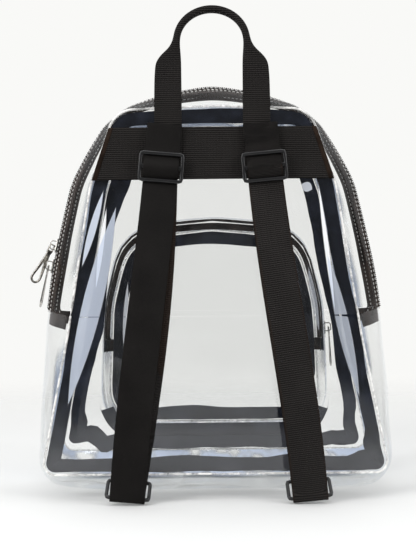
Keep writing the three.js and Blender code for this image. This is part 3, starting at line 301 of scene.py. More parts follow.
# Area lights, in metres and watts. All of them aim at the middle of the bag
LIT_POINT = (0, 0, 0.15)
LIGHTS = [
    {"name": "left_softbox", "place": (-0.95, -1.0, 0.9), "size": (0.6, 0.8), "power": 14},
    {"name": "right_softbox", "place": (1.1, -1.0, 0.8), "size": (0.5, 0.7), "power": 8},
    {"name": "right_strip", "place": (1.2, -0.5, 0.45), "size": (0.16, 1.3), "power": 5},
    {"name": "left_strip", "place": (-1.3, -0.2, 0.5), "size": (0.16, 1.3), "power": 5},
    {"name": "top_softbox", "place": (0.0, 0.1, 1.5), "size": (1.4, 1.0), "power": 8},
]


class Value:
    """A shader socket, on which arithmetic adds Math nodes."""

    def __init__(self, finish, socket):
        self.finish = finish
        self.socket = socket

    def maths(self, operation, *values):
        return self.finish.node("ShaderNodeMath", {"operation": operation}, dict(enumerate(values)))

    def other(self, name):
        return Value(self.finish, self.socket.node.outputs[name])

    def __add__(self, value):
        return self.maths("ADD", self, value)

    def __radd__(self, value):
        return self.maths("ADD", value, self)

    def __sub__(self, value):
        return self.maths("SUBTRACT", self, value)

    def __rsub__(self, value):
        return self.maths("SUBTRACT", value, self)

    def __mul__(self, value):
        return self.maths("MULTIPLY", self, value)

    def __rmul__(self, value):
        return self.maths("MULTIPLY", value, self)

    def __pow__(self, value):
        return self.maths("POWER", self, value)

    def between(self, low, high):
        """0 at low and 1 at high, eased between them and level beyond."""
        return self.finish.node(
            "ShaderNodeMapRange", {"interpolation_type": "SMOOTHSTEP"}, {"Value": self, 1: low, 2: high}
        )

    def least(self, value):
        return self.maths("MINIMUM", self, value)

    def most(self, value):
        return self.maths("MAXIMUM", self, value)

    def __abs__(self):
        return self.maths("ABSOLUTE", self)

    def wave(self):
        return self.maths("SINE", self)

    def floor(self):
        return self.maths("FLOOR", self)


class Finish:
    """A node material while it is put together."""

    end = "ShaderNodeOutputMaterial"

    def __init__(self, name):
        self.start(bpy.data.materials.new(name))

    def start(self, owner):
        self.owner = owner
        owner.use_nodes = True
        self.tree = owner.node_tree
        self.tree.nodes.clear()

    def node(self, kind, settings=None, inputs=None, output=0):
        """Adds a node with those settings and inputs and returns one of its outputs."""
        made = self.tree.nodes.new(kind)
        for key, value in (settings or {}).items():
            setattr(made, key, value)
        for key, value in (inputs or {}).items():
            if isinstance(value, Value):
                self.tree.links.new(value.socket, made.inputs[key])
            else:
                made.inputs[key].default_value = value
        return Value(self, made.outputs[output])

    def place(self, output="Object"):
        return self.node("ShaderNodeTexCoord", output=output)

    def noise(self, place, name):
        row = NOISES[name]
        return self.node(
            "ShaderNodeTexNoise", None,
            {"Vector": place, "Scale": row["scale"], "Detail": row["detail"], "Roughness": row["roughness"]},
        )

    def blend(self, share, first, second):
        return self.node(
            "ShaderNodeMix", {"data_type": "RGBA"}, {0: share, 6: first, 7: second}, output=2
        )

    def bump(self, height, depth, normal=None):
        inputs = {"Height": height, "Distance": depth}
        if normal is not None:
            inputs["Normal"] = normal
        return self.node("ShaderNodeBump", None, inputs)

    def close(self, surface):
        end = self.tree.nodes.new(self.end)
        self.tree.links.new(surface.socket, end.inputs["Surface"])
        return self.owner


class Sky(Finish):
    """The world's nodes while they are put together."""

    end = "ShaderNodeOutputWorld"

    def __init__(self, name):
        self.start(bpy.data.worlds.new(name))


def colour(rgb, factor=1.0):
    """A socket's colour from red, green and blue, each times a factor."""
    return (*(factor * part for part in rgb), 1.0)


def fold_reflection_mask(finish, axes, fold):
    """1 along a fold's painted reflection and 0 away from it, pointed at both ends."""
    x0, z0, x1, z1 = (value * MM for value in fold["ends"])
    length = math.hypot(x1 - x0, z1 - z0)
    dx, dz = (x1 - x0) / length, (z1 - z0) / length
    x, z = axes.other("X") - x0, axes.other("Z") - z0
    along = (x * dx + z * dz) * (1 / length)
    aside = abs(x * dz - z * dx)
    half = (4 * along * (1 - along)) * (fold["width"] * MM / 2)
    return (half - aside).between(0.0, FOLD_EDGE * MM) * fold["strength"]


def vinyl_finish(row, settings):
    """A clear sheet: what it reflects grows towards its edges, and it dims what is behind it a little.

    Along its folds, and in patches by the front seam, it shows a painted reflection in a light tone instead."""
    finish = Finish(f"{row['name']}_finish")
    place = finish.place()
    axes = finish.node("ShaderNodeSeparateXYZ", None, {0: place})
    facing = finish.node("ShaderNodeLayerWeight", None, {"Blend": 0.5}, output="Facing")
    drawn = finish.node("ShaderNodeMapping", None, {"Vector": place, "Scale": DRAWN_OUT})
    waves = finish.noise(drawn, "sheet_waves")
    ridge = (1 - abs(finish.noise(drawn, "sheet_ridges") * 2 - 1)) ** 14
    smudge = finish.noise(place, "sheet_smudges")
    streak = finish.noise(drawn, "sheet_streaks").between(0.36, 0.5)
    # Painted reflection: a light-toned patch near the front seam and along each fold, in place of the sheet's
    # own reflection
    seam_reflection_band = axes.other("Y").between(*(edge * MM for edge in SEAM_REFLECTION_BAND))
    painted_reflection_tone = seam_reflection_band * streak * row["shade"]
    # folded: share of the sheet that the painted reflection covers; there the sheet turns from mirror to a
    # lit colour of that tone
    folded = painted_reflection_tone
    for fold in FOLD_REFLECTIONS.get(row["name"], []):
        mask = fold_reflection_mask(finish, axes, fold)
        folded = folded.most(mask)
        painted_reflection_tone = painted_reflection_tone.most(mask * fold["tone"])
    mirrored = (facing**5 * settings.edge_on + settings.straight_on) * row["mirror"]
    shine = (mirrored + FOLD_REFLECTION_COVER * folded).least(1.0)
    gloss = finish.node(
        "ShaderNodeBsdfPrincipled", None,
        {
            "Base Color": finish.blend(painted_reflection_tone, colour(FOLD_HIGHLIGHT_WHITE), colour(settings.painted_reflection_colour)),
            "Metallic": 1.0 - folded,
            "Roughness": 0.03 + 0.08 * smudge,
            "Specular IOR Level": 0.3,
            "Normal": finish.bump(
                ridge, row["ripple"] * 0.8 * MM, normal=finish.bump(waves, row["ripple"] * MM)
            ),
        },
    )
    clear = finish.node("ShaderNodeBsdfTransparent", None, {"Color": colour(settings.vinyl_tint)})
    return finish.close(finish.node("ShaderNodeMixShader", None, {0: shine, 1: clear, 2: gloss}))


def bead_finish(name, shade):
    """The doubled edge of a clear sheet, cloudier than the sheet, with a painted highlight in its near-white
    colour.
    """
    finish = Finish(name)
    place = finish.place()
    cloud = finish.noise(place, "bead_clouds")
    gloss = finish.node(
        "ShaderNodeBsdfPrincipled", None,
        {
            "Base Color": colour(shade),
            "Roughness": 0.12 + 0.2 * cloud,
            "Normal": finish.bump(cloud, 0.4 * MM),
        },
    )
    clear = finish.node("ShaderNodeBsdfTransparent", None, {"Color": colour((0.9, 0.9, 0.9))})
    cover = 0.2 + cloud.between(0.35, 0.65) * 0.7
    return finish.close(finish.node("ShaderNodeMixShader", None, {0: cover, 1: clear, 2: gloss}))


def webbing_finish(name, shade, pitch, yarn, on_uv):
    """Ribbed webbing: raised ribs across it, each crossed by yarns."""
    finish = Finish(name)
    if on_uv:
        axes = finish.node("ShaderNodeSeparateXYZ", None, {0: finish.place("UV")})
        across, along = axes.other("X"), axes.other("Y")
    else:
        axes = finish.node("ShaderNodeSeparateXYZ", None, {0: finish.place()})
        across, along = axes.other("X"), axes.other("Z")
    column = (across * (1 / yarn)).floor()
    rib = abs((along * (math.pi / pitch) + column * (math.pi / 2)).wave())
    ribs = abs((along * (math.pi / pitch)).wave())
    twist = abs((across * (math.pi / yarn)).wave())
    fuzz = finish.noise(finish.place(), "webbing_fuzz")
    patch = finish.noise(finish.place(), "webbing_wear")
    height = ribs * 0.7 + rib * 0.3 + twist * 0.25 + fuzz * 0.25
    # Lighter tone: ribs**3 paints a highlight on the rib crests; the patches are wear and the fuzz is the
    # yarn's own tone
    pale_share = (ribs**3) * 0.6 + patch * 0.3 + fuzz * 0.15
    cloth = finish.blend(pale_share, colour(shade, 0.12), colour(shade, 3.4))
    if on_uv:
        rim = abs(across).between(*(edge * MM for edge in RIM_BAND))
        cloth = finish.blend(rim * 0.7, cloth, colour(RIM_COLOUR))
    surface = finish.node(
        "ShaderNodeBsdfPrincipled", None,
        {
            "Base Color": cloth,
            "Roughness": 0.7 + 0.2 * fuzz,
            "Specular IOR Level": 0.08,
            "Normal": finish.bump(height, 0.6 * MM),
        },
    )
    return finish.close(surface)


def tape_finish(name, shade, weave, floor_haze):
    """Thin woven tape; when its last argument is 1, a painted haze of reflected light turns it grey along the
    floor.
    """
    finish = Finish(name)
    place = finish.place()
    axes = finish.node("ShaderNodeSeparateXYZ", None, {0: place})
    diagonal = axes.other("X") + axes.other("Y") + axes.other("Z")
    twill = abs((diagonal * (math.pi / weave)).wave())
    fuzz = finish.noise(place, "tape_fuzz")
    patch = finish.noise(place, "tape_wear")
    pale_share = patch.between(0.35, 0.75) * 0.7 + twill * 0.3
    cloth = finish.blend(pale_share, colour(shade, 0.5), colour(shade, 3.4))
    # Painted haze of reflected light: the tape turns grey towards the floor
    low = 1 - axes.other("Z").between(*(edge * MM for edge in FLOOR_HAZE_BAND))
    surface = finish.node(
        "ShaderNodeBsdfPrincipled", None,
        {
            "Base Color": finish.blend(low * floor_haze * (0.5 + 0.5 * patch), cloth, colour(FLOOR_HAZE_COLOUR)),
            "Roughness": 0.6 + 0.25 * fuzz,
            "Specular IOR Level": 0.02,
            "Normal": finish.bump(twill * 0.6 + fuzz * 0.5, 0.2 * MM),
        },
    )
    return finish.close(surface)


def speckled_finish(name, shade, kind):
    """Thread, nylon, plastic or metal: mottled in tone and gloss, with a fine relief."""
    row = SPECKLED[kind]
    finish = Finish(name)
    place = finish.place()
    drawn = finish.node("ShaderNodeMapping", None, {"Vector": place, "Scale": row["stretch"]})
    patches = finish.noise(place, row["patches"])
    surface = finish.node(
        "ShaderNodeBsdfPrincipled", None,
        {
            "Base Color": finish.blend(patches, colour(shade, row["dark"]), colour(shade, row["light"])),
            "Metallic": row["metallic"],
            "Roughness": row["rough"] + row["uneven"] * patches if row["uneven"] else row["rough"],
            "Specular IOR Level": row["specular"],
            "Normal": finish.bump(finish.noise(drawn, row["relief"]), row["depth"] * MM),
        },
    )
    return finish.close(surface)


def only(obj):
    """Selects that object alone and makes it active."""
    bpy.ops.object.select_all(action="DESELECT")
    obj.select_set(True)
    bpy.context.view_layer.objects.active = obj


def applied(obj, kind, **settings):
    """Adds a modifier with those settings and applies it."""
    only(obj)
    modifier = obj.modifiers.new(kind.title(), kind)
    for key, value in settings.items():
        setattr(modifier, key, value)
    bpy.ops.object.modifier_apply(modifier=modifier.name)


def smoothed(obj, degrees):
    """Shades a piece smooth except at edges over that angle."""
    only(obj)
    bpy.ops.object.shade_smooth_by_angle(angle=math.radians(degrees))


def copy_of(node, name):
    """A merged copy of a CAD node under a new name."""
    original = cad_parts[node]
    piece = bpy.data.objects.new(name, original.data.copy())
    piece.data.name = name
    bpy.context.scene.collection.objects.link(piece)
    piece.data.materials.clear()
    only(piece)
    bpy.ops.object.mode_set(mode="EDIT")
    bpy.ops.mesh.select_all(action="SELECT")
    bpy.ops.mesh.remove_doubles(threshold=0.02 * MM)
    bpy.ops.mesh.customdata_custom_splitnormals_clear()
    bpy.ops.object.mode_set(mode="OBJECT")
    return piece


def in_quads(piece):
    """Joins each pair of triangles that share their longest edge."""
    mesh = bmesh.new()
    mesh.from_mesh(piece.data)
    longest = {}
    for face in mesh.faces:
        longest[face] = max(face.edges, key=lambda edge: edge.calc_length())
    diagonals = [
        edge for edge in mesh.edges
        if len(edge.link_faces) == 2 and all(longest[face] is edge for face in edge.link_faces)
    ]
    bmesh.ops.dissolve_edges(mesh, edges=diagonals, use_verts=False)
    mesh.to_mesh(piece.data)
    mesh.free()


def keep_faces(piece, wanted):
    """Deletes every face for which wanted is false."""
    for face in piece.data.polygons:
        face.select = not wanted(face)
    only(piece)
    bpy.context.tool_settings.mesh_select_mode = (False, False, True)
    bpy.ops.object.mode_set(mode="EDIT")
    bpy.ops.mesh.delete(type="FACE")
    bpy.ops.object.mode_set(mode="OBJECT")


def outer_skin(piece, facing, middle):
    """Keeps only the faces of a sheet's outer side."""
    points = piece.data.vertices

    def shortest(face):
        corners = [points[k].co for k in face.vertices]
        return min((a - b).length for a, b in zip(corners, corners[1:] + corners[:1]))

    def outward(face):
        if facing == "back":
            return face.normal.y < -0.5
        if facing == "front":
            return face.normal.y > 0.5
        spoke = Vector((face.center.x, 0, face.center.z - middle * MM))
        return face.normal.dot(spoke) > 0

    keep_faces(piece, lambda face: shortest(face) > WALL_EDGE * MM and outward(face))


def waved(piece, depth, length, seed, free):
    """Waves a piece between its edges. free is the distance over which an edge's hold fades out."""
    mesh = bmesh.new()
    mesh.from_mesh(piece.data)
    held = [v.co.copy() for v in mesh.verts if v.is_boundary]
    mesh.free()
    group = piece.vertex_groups.new(name="loose")
    tree = kdtree.KDTree(len(held))
    for k, point in enumerate(held):
        tree.insert(point, k)
    tree.balance()
    for vertex in piece.data.vertices:
        distance = tree.find(vertex.co)[2] if held else free
        group.add([vertex.index], min(1.0, distance / free) ** 1.5, "REPLACE")
    pattern = bpy.data.textures.new(f"{piece.name}_waves", "CLOUDS")
    pattern.noise_scale = length
    pattern.noise_depth = 1
    pattern.noise_basis = "IMPROVED_PERLIN"
    anchor = bpy.data.objects.new("pattern_anchor", None)
    anchor.location = tuple(seed * step for step in SEED_STEP)
    bpy.context.scene.collection.objects.link(anchor)
    bpy.context.view_layer.update()
    applied(
        piece, "DISPLACE", texture=pattern, texture_coords="OBJECT", texture_coords_object=anchor,
        strength=2 * depth, mid_level=0.5, vertex_group="loose",
    )
    piece.vertex_groups.clear()
    bpy.data.objects.remove(anchor)
    bpy.data.textures.remove(pattern)


def dressed(piece, material, body, slot, *nodes):
    """Gives a finished piece its material and place in the part."""
    piece.data.materials.clear()
    piece.data.materials.append(material)
    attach(piece, body)
    if nodes:
        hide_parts(*nodes)
    return piece


def add_sheet(row, settings, seed):
    """A clear sheet: a node's outer skin, waved and given its wall."""
    piece = copy_of(row["node"], row["name"])
    outer_skin(piece, row["facing"], row["middle"])
    in_quads(piece)
    applied(piece, "SUBSURF", levels=SHEET_LEVELS, render_levels=SHEET_LEVELS,
            boundary_smooth="PRESERVE_CORNERS")
    waved(piece, row["loose"] * MM * settings.looseness, row["wave"] * MM, seed, SHEET_HOLD * MM)
    for point in piece.data.vertices:
        point.co.z = max(point.co.z, 0)
    applied(piece, "SOLIDIFY", thickness=settings.vinyl_wall, offset=-1.0, use_even_offset=True)
    smoothed(piece, SHEET_SHADING)
    return dressed(piece, vinyl_finish(row, settings), "bag", "clear_vinyl", row["node"])


def creased_rims(piece, angle):
    """Marks the edges sharper than an angle so that subdivision keeps them."""
    mesh = bmesh.new()
    mesh.from_mesh(piece.data)
    crease = mesh.edges.layers.float.get("crease_edge") or mesh.edges.layers.float.new("crease_edge")
    for edge in mesh.edges:
        if edge.is_boundary or len(edge.link_faces) == 2 and edge.calc_face_angle() > math.radians(angle):
            edge[crease] = 1.0
    mesh.to_mesh(piece.data)
    mesh.free()


def add_tape(row, material, slot, seed):
    """A woven tape, waved between its edges and crumpled at its kinks."""
    piece = copy_of(row["node"], row["name"])
    in_quads(piece)
    creased_rims(piece, CREASE_ANGLE)
    applied(piece, "SUBSURF", levels=WOVEN_LEVELS, render_levels=WOVEN_LEVELS)
    waved(piece, row["loose"] * MM, row["wave"] * MM, seed, TAPE_HOLD * MM)
    kinked(piece)
    smoothed(piece, TAPE_SHADING)
    return dressed(piece, material, "bag", slot, row["node"])


def kinked(piece):
    """Shifts the points round each kink listed for a piece, less and less towards its reach."""
    for kink in KINKS:
        if kink["piece"] != piece.name:
            continue
        middle, reach = kink["middle"], kink["reach"]
        for point in piece.data.vertices:
            across = (point.co.x / MM - middle[0]) / reach[0]
            up = (point.co.z / MM - middle[1]) / reach[1]
            share = max(0.0, 1 - math.hypot(across, up))
            point.co += Vector(kink["shift"]) * (MM * share * share * (3 - 2 * share))


def add_pocket_seam(material):
    """The binding that lies on the front sheet along the pocket's seam."""
    piece = copy_of("pocket_face_binding", "pocket_back_tape")
    keep_faces(piece, lambda face: face.center.z < POCKET_SEAM[2][1] * MM)
    in_quads(piece)
    creased_rims(piece, CREASE_ANGLE)
    applied(piece, "SUBSURF", levels=WOVEN_LEVELS, render_levels=WOVEN_LEVELS)
    box = [(min(axis), max(axis)) for axis in zip(*(v.co for v in piece.data.vertices))]
    for point in piece.data.vertices:
        for axis, (low, high) in enumerate(POCKET_SEAM):
            share = (point.co[axis] - box[axis][0]) / (box[axis][1] - box[axis][0])
            point.co[axis] = (low + (high - low) * share) * MM
    smoothed(piece, TAPE_SHADING)
    return dressed(piece, material, "bag", "binding")


def add_yoke_ends(material):
    """Binding folded over both ends of the yoke."""
    piece = copy_of("yoke", "yoke_end_tape")
    in_quads(piece)
    reach = max(v.co.x for v in piece.data.vertices)

    def at_end(face):
        half = reach - (face.center.z - YOKE_FOOT * MM) * YOKE_TAPER
        return face.normal.y < -0.5 and abs(face.center.x) > YOKE_END_START * half

    keep_faces(piece, at_end)
    edges = {}
    for point in piece.data.vertices:
        edges.setdefault((point.co.x > 0, round(point.co.z / MM)), []).append(point)
    for pair in edges.values():
        inner, outer = sorted(pair, key=lambda point: abs(point.co.x))
        inner.co = outer.co.lerp(inner.co, YOKE_END_SHARE)
    applied(piece, "SOLIDIFY", thickness=YOKE_END_WALL * MM, offset=-0.7)
    applied(
        piece, "BEVEL", width=YOKE_END_ROUND * MM, segments=3, limit_method="ANGLE",
        angle_limit=math.radians(YOKE_EDGE_ANGLE),
    )
    smoothed(piece, WEBBING_SHADING)
    return dressed(piece, material, "bag", "binding")


def outline_of(node, y, out):
    """The outer edge of a binding as a closed line at that Y, moved outwards in its plane."""
    piece = copy_of(node, "measured")
    edge = {}
    for vertex in piece.data.vertices:
        edge.setdefault(round(vertex.co.y / MM, 2), []).append(vertex.co.copy())
    bpy.data.objects.remove(piece)
    widest = max(edge.values(), key=lambda points: (len(points), max(p.x for p in points)))
    middle = sum(p.z for p in widest) / len(widest)
    line = sorted(widest, key=lambda p: math.atan2(p.z - middle, p.x))
    moved = []
    for before, point, after in zip(line[-1:] + line[:-1], line, line[1:] + line[:1]):
        heading = (after - before).normalized()
        moved.append(Vector((point.x + heading.z * out, y, point.z - heading.x * out)))
    return moved


def add_bead(row, material):
    """A round bead along the outer edge of a binding."""
    line = outline_of(row["node"], row["y"] * MM, row["out"] * MM)
    data = bpy.data.curves.new(row["name"], "CURVE")
    data.dimensions = "3D"
    data.bevel_depth = row["radius"] * MM
    data.bevel_resolution = 2
    data.use_fill_caps = False
    spline = data.splines.new("POLY")
    course = rounded_course(line + line[:1], BEAD_STEPS)[:-1]
    spline.points.add(len(course) - 1)
    for slot, point in zip(spline.points, course):
        slot.co = (*point, 1)
    spline.use_cyclic_u = True
    piece = bpy.data.objects.new(row["name"], data)
    bpy.context.scene.collection.objects.link(piece)
    only(piece)
    bpy.ops.object.convert(target="MESH")
    smoothed(piece, ROUND_SHADING)
    return dressed(piece, material, "bag", "clear_vinyl")


def rings_of(piece):
    """Corners of a band, four to a ring, from one end to the other."""
    mesh = bmesh.new()
    mesh.from_mesh(piece.data)
    mesh.verts.ensure_lookup_table()
    ends = [v for v in mesh.verts if len(v.link_edges) == 3]
    caps = [face for face in mesh.faces if len(face.verts) == 4 and all(v in ends for v in face.verts)]
    if not caps:
        raise RuntimeError(f"{piece.name} has no end to start from")
    ring = list(caps[0].verts)
    seen = set(ring)
    rings = [[v.index for v in ring]]
    while True:
        following = []
        for v in ring:
            onward = [e.other_vert(v) for e in v.link_edges if e.other_vert(v) not in seen]
            if onward:
                following.append(onward[0])
        if len(following) != len(ring):
            break
        seen.update(following)
        ring = following
        rings.append([v.index for v in ring])
    mesh.free()
    return rings


def run_uv(piece, rings):
    """Writes a UV map in metres: U across the band, V along it."""
    points = [v.co for v in piece.data.vertices]
    middles = [sum((points[k] for k in ring), Vector()) / len(ring) for ring in rings]
    along = [0.0]
    for before, after in zip(middles, middles[1:]):
        along.append(along[-1] + (after - before).length)
    first = [points[k] for k in rings[0]]
    wide = 0 if (first[0] - first[1]).length > (first[1] - first[2]).length else 1
    place = {}
    for ring, middle, v in zip(rings, middles, along):
        a, b = points[ring[wide]], points[ring[(wide + 1) % 4]]
        direction = (b - a).normalized()
        for k in ring:
            place[k] = ((points[k] - middle).dot(direction), v)
    layer = piece.data.uv_layers.new(name="run") if not piece.data.uv_layers else piece.data.uv_layers[0]
    for loop in piece.data.loops:
        layer.data[loop.index].uv = place.get(loop.vertex_index, (0.0, 0.0))


def rounded_webbing(piece):
    """Rounds the sharp edges of a piece of webbing."""
    applied(
        piece, "BEVEL", width=WEBBING_ROUND * MM, segments=2, limit_method="ANGLE",
        angle_limit=math.radians(CREASE_ANGLE),
    )


def add_band(row, material):
    """A band of webbing with its weave along it."""
    piece = copy_of(row["node"], row["name"])
    in_quads(piece)
    run_uv(piece, rings_of(piece))
    creased_rims(piece, CREASE_ANGLE)
    applied(piece, "SUBSURF", levels=WOVEN_LEVELS, render_levels=WOVEN_LEVELS)
    rounded_webbing(piece)
    smoothed(piece, WEBBING_SHADING)
    return dressed(piece, material, "bag", "webbing", row["node"])


def add_hardware(row, material, slot):
    """A hard piece with rounded edges."""
    piece = copy_of(row["node"], row["name"])
    only(piece)
    bpy.ops.object.mode_set(mode="EDIT")
    bpy.ops.mesh.select_all(action="SELECT")
    bpy.ops.mesh.dissolve_limited(angle_limit=math.radians(FLAT_ANGLE))
    bpy.ops.object.mode_set(mode="OBJECT")
    applied(
        piece, "BEVEL", width=row["round"] * MM, segments=3, limit_method="ANGLE",
        angle_limit=math.radians(HARDWARE_EDGE_ANGLE), miter_outer="MITER_ARC",
    )
    smoothed(piece, SHEET_SHADING)
    return dressed(piece, material, row["body"], slot, row["node"])


def columns_of(node, deep):
    """Outermost corners of a part of the zip, in columns of equal Y, each from the right end over the crown.

    deep is the number of corners that lie above each other in a column."""
    piece = copy_of(node, "measured")
    columns = {}
    for vertex in piece.data.vertices:
        columns.setdefault(round(vertex.co.y / MM, 1), []).append(vertex.co.copy())
    bpy.data.objects.remove(piece)

    def spoke(point):
        return Vector((point.x, 0, point.z - RIM_CENTRE))

    found = []
    for y in sorted(columns, key=abs):
        points = sorted(columns[y], key=lambda point: math.atan2(spoke(point).z, spoke(point).x))
        groups = zip(*(points[first::deep] for first in range(deep)))
        found.append([max(group, key=lambda point: spoke(point).length) for group in groups])
    return found


def evenly(points, pitch):
    """Places a pitch apart along a line, each with its direction."""
    lengths = [0.0]
    for before, after in zip(points, points[1:]):
        lengths.append(lengths[-1] + (after - before).length)
    places = []
    k = 0
    for n in range(int(lengths[-1] / pitch)):
        reach = (n + 0.5) * pitch
        while lengths[k + 1] < reach:
            k += 1
        share = (reach - lengths[k]) / (lengths[k + 1] - lengths[k])
        places.append((points[k].lerp(points[k + 1], share), (points[k + 1] - points[k]).normalized()))
    return places


def rounded_course(points, steps):
    """A smooth line through the points."""
    course = []
    ends = [points[0] * 2 - points[1], *points, points[-1] * 2 - points[-2]]
    for a, b, c, d in zip(ends, ends[1:], ends[2:], ends[3:]):
        for n in range(steps):
            t = n / steps
            course.append(0.5 * (2 * b + (c - a) * t + (2 * a - 5 * b + 4 * c - d) * t**2
                                 + (3 * b - a - 3 * c + d) * t**3))
    course.append(points[-1])
    return course


def capsule(name, length, radius, sides):
    """A short rod with rounded ends along X, as a mesh."""
    bpy.ops.object.select_all(action="DESELECT")
    bpy.ops.mesh.primitive_cylinder_add(
        vertices=sides, radius=radius, depth=length - 2 * radius, rotation=(0, math.pi / 2, 0)
    )
    rod = bpy.context.object
    bpy.ops.object.transform_apply(location=True, rotation=True, scale=True)
    bpy.ops.object.mode_set(mode="EDIT")
    for end in (-1, 1):
        bpy.ops.mesh.select_all(action="DESELECT")
        mesh = bmesh.from_edit_mesh(rod.data)
        for face in mesh.faces:
            face.select_set(face.normal.x * end > 0.9)
        bmesh.update_edit_mesh(rod.data)
        bpy.ops.mesh.extrude_region_move(TRANSFORM_OT_translate={"value": (end * radius * END_RISE, 0, 0)})
        bpy.ops.transform.resize(value=(1, END_SHRINK, END_SHRINK))
    bpy.ops.object.mode_set(mode="OBJECT")
    rod.name = name
    return rod


def repeated(name, sample, places):
    """One mesh with a copy of the sample at each place, given as a matrix."""
    mesh = bmesh.new()
    for place in places:
        shape = sample.data.copy()
        shape.transform(place)
        mesh.from_mesh(shape)
        bpy.data.meshes.remove(shape)
    data = bpy.data.meshes.new(name)
    mesh.to_mesh(data)
    mesh.free()
    piece = bpy.data.objects.new(name, data)
    bpy.context.scene.collection.objects.link(piece)
    return piece


def facing_matrix(point, along, out):
    """Turns a sample's X along a line and its Z outwards, at a point."""
    side = out.cross(along).normalized()
    up = along.cross(side).normalized()
    return Matrix.Translation(point) @ Matrix((along, side, up)).transposed().to_4x4()


def add_stitches(row, settings, material):
    """Rows of stitches along a zip tape."""
    columns = columns_of(row["node"], 2)
    inner, outer = columns[0], columns[-1]
    sample = capsule("stitch", settings.stitch_length, settings.thread_width / 2, STITCH_SIDES)
    width = abs(outer[0].y - inner[0].y)
    places = []
    for at in row["places"]:
        share = at * MM / width
        middle = columns[1]
        across = abs(middle[0].y - inner[0].y) / width
        if share < across:
            line = [a.lerp(b, share / across) for a, b in zip(inner, middle)]
        else:
            line = [a.lerp(b, (share - across) / (1 - across)) for a, b in zip(middle, outer)]
        for point, along in evenly(rounded_course(line, COURSE_STEPS), settings.stitch_pitch):
            out = Vector((point.x, 0, point.z - RIM_CENTRE)).normalized()
            for lift in STITCH_LIFTS:
                places.append(facing_matrix(point + out * (lift * MM), along, out))
    piece = repeated(row["name"], sample, places)
    bpy.data.objects.remove(sample)
    smoothed(piece, ROUND_SHADING)
    return dressed(piece, material, "bag", "binding")


def add_teeth(settings, material):
    """The moulded coil of the main zip, standing proud of its core."""
    core = columns_of("zip_coil", 1)
    crown = [a.lerp(b, 0.5) for a, b in zip(core[0], core[1])]
    sample = capsule("tooth", TOOTH["length"] * MM, TOOTH["radius"] * MM, TOOTH["sides"])
    places = []
    for point, along in evenly(rounded_course(crown, COURSE_STEPS), settings.coil_pitch):
        out = Vector((point.x, 0, point.z - RIM_CENTRE))
        out = (out - along * out.dot(along)).normalized()
        places.append(facing_matrix(Vector((point.x, 0, point.z)), Vector((0, 1, 0)), out))
    piece = repeated("zip_teeth", sample, places)
    bpy.data.objects.remove(sample)
    smoothed(piece, ROUND_SHADING)
    return dressed(piece, material, "bag", "zip_coil")


def tone(name, description, default):
    """A colour that the panel shows."""
    return bpy.props.FloatVectorProperty(
        name=name, description=description, subtype="COLOR", size=3, min=0, max=1, default=default
    )


def length(name, description, default):
    """A length that the panel shows, in metres."""
    return bpy.props.FloatProperty(name=name, description=description, unit="LENGTH", default=default)


class ClearBackpackSettings(bpy.types.PropertyGroup):
    """Sizes and colours of the backpack's pieces."""

    vinyl_tint: tone("Vinyl tint", "Colour that the clear sheet lets through", (0.978, 0.98, 0.979))
    straight_on: bpy.props.FloatProperty(
        name="Straight-on reflection", description="Share of light that a clear sheet mirrors, seen face on",
        default=0.035, min=0, max=1,
    )
    edge_on: bpy.props.FloatProperty(
        name="Edge-on reflection", description="Share of light that a clear sheet mirrors more, seen edge on",
        default=0.6, min=0, max=1,
    )
    # Colour of the painted reflection along the sheets' folds and by the front seam
    painted_reflection_colour: tone("Grazed shade", "Colour that a clear sheet turns along its folds", (0.62, 0.7, 0.86))
    vinyl_wall: length("Vinyl wall", "Thickness of the clear sheet", 0.5 * MM)
    looseness: bpy.props.FloatProperty(
        name="Looseness", description="How much the clear sheets wave", default=1.0, min=0, max=2,
    )
    webbing_colour: tone("Webbing colour", "Colour of straps, yoke, handle and tabs", (0.0105, 0.0095, 0.009))
    rib_pitch: length("Rib pitch", "Distance between ribs of the webbing", 1.5 * MM)
    yarn_width: length("Yarn width", "Width of one yarn of the webbing", 1.1 * MM)
    binding_colour: tone("Binding colour", "Colour of the seam bindings", (0.009, 0.0105, 0.016))
    yoke_end_colour: tone(
        "Yoke end colour", "Colour of the binding at the yoke's ends", (0.012, 0.008, 0.006)
    )
    # Near-white colour of the beads, a painted highlight along the seams
    bead_highlight_colour: tone("Bead colour", "Colour of the clear beads along the seams", (0.93, 0.92, 0.9))
    zip_colour: tone("Zip tape colour", "Colour of the zip tapes", (0.016, 0.0115, 0.0095))
    thread_colour: tone("Thread colour", "Colour of the stitches beside the zip", (0.8, 0.79, 0.77))
    thread_width: length("Thread width", "Thickness of a stitch", 0.7 * MM)
    stitch_pitch: length("Stitch pitch", "Distance from stitch to stitch", 3.2 * MM)
    stitch_length: length("Stitch length", "Length of one stitch", 1.9 * MM)
    coil_colour: tone("Coil colour", "Colour of the zip coils", (0.02, 0.016, 0.015))
    coil_pitch: length("Coil pitch", "Distance from tooth to tooth", 1.5 * MM)
    plastic_colour: tone("Plastic colour", "Colour of tri-glides and rings", (0.006, 0.006, 0.0065))
    metal_colour: tone("Metal colour", "Colour of sliders and pulls", (0.62, 0.6, 0.56))
    floor_colour: tone("Floor colour", "Colour of the floor", (0.7, 0.702, 0.695))
    backdrop_colour: tone("Backdrop colour", "Colour of the backdrop", (0.948, 0.948, 0.93))


class CLEARBACKPACK_OT_sheets(bpy.types.Operator):
    """Makes the clear vinyl sheets from the outer skins of their nodes"""

    bl_idname = "clear_backpack.sheets"
    bl_label = "Clear sheets"

    def execute(self, context):
        for seed, row in enumerate(SHEETS):
            add_sheet(row, context.scene.clear_backpack, seed + SHEET_SEED)
        return {"FINISHED"}


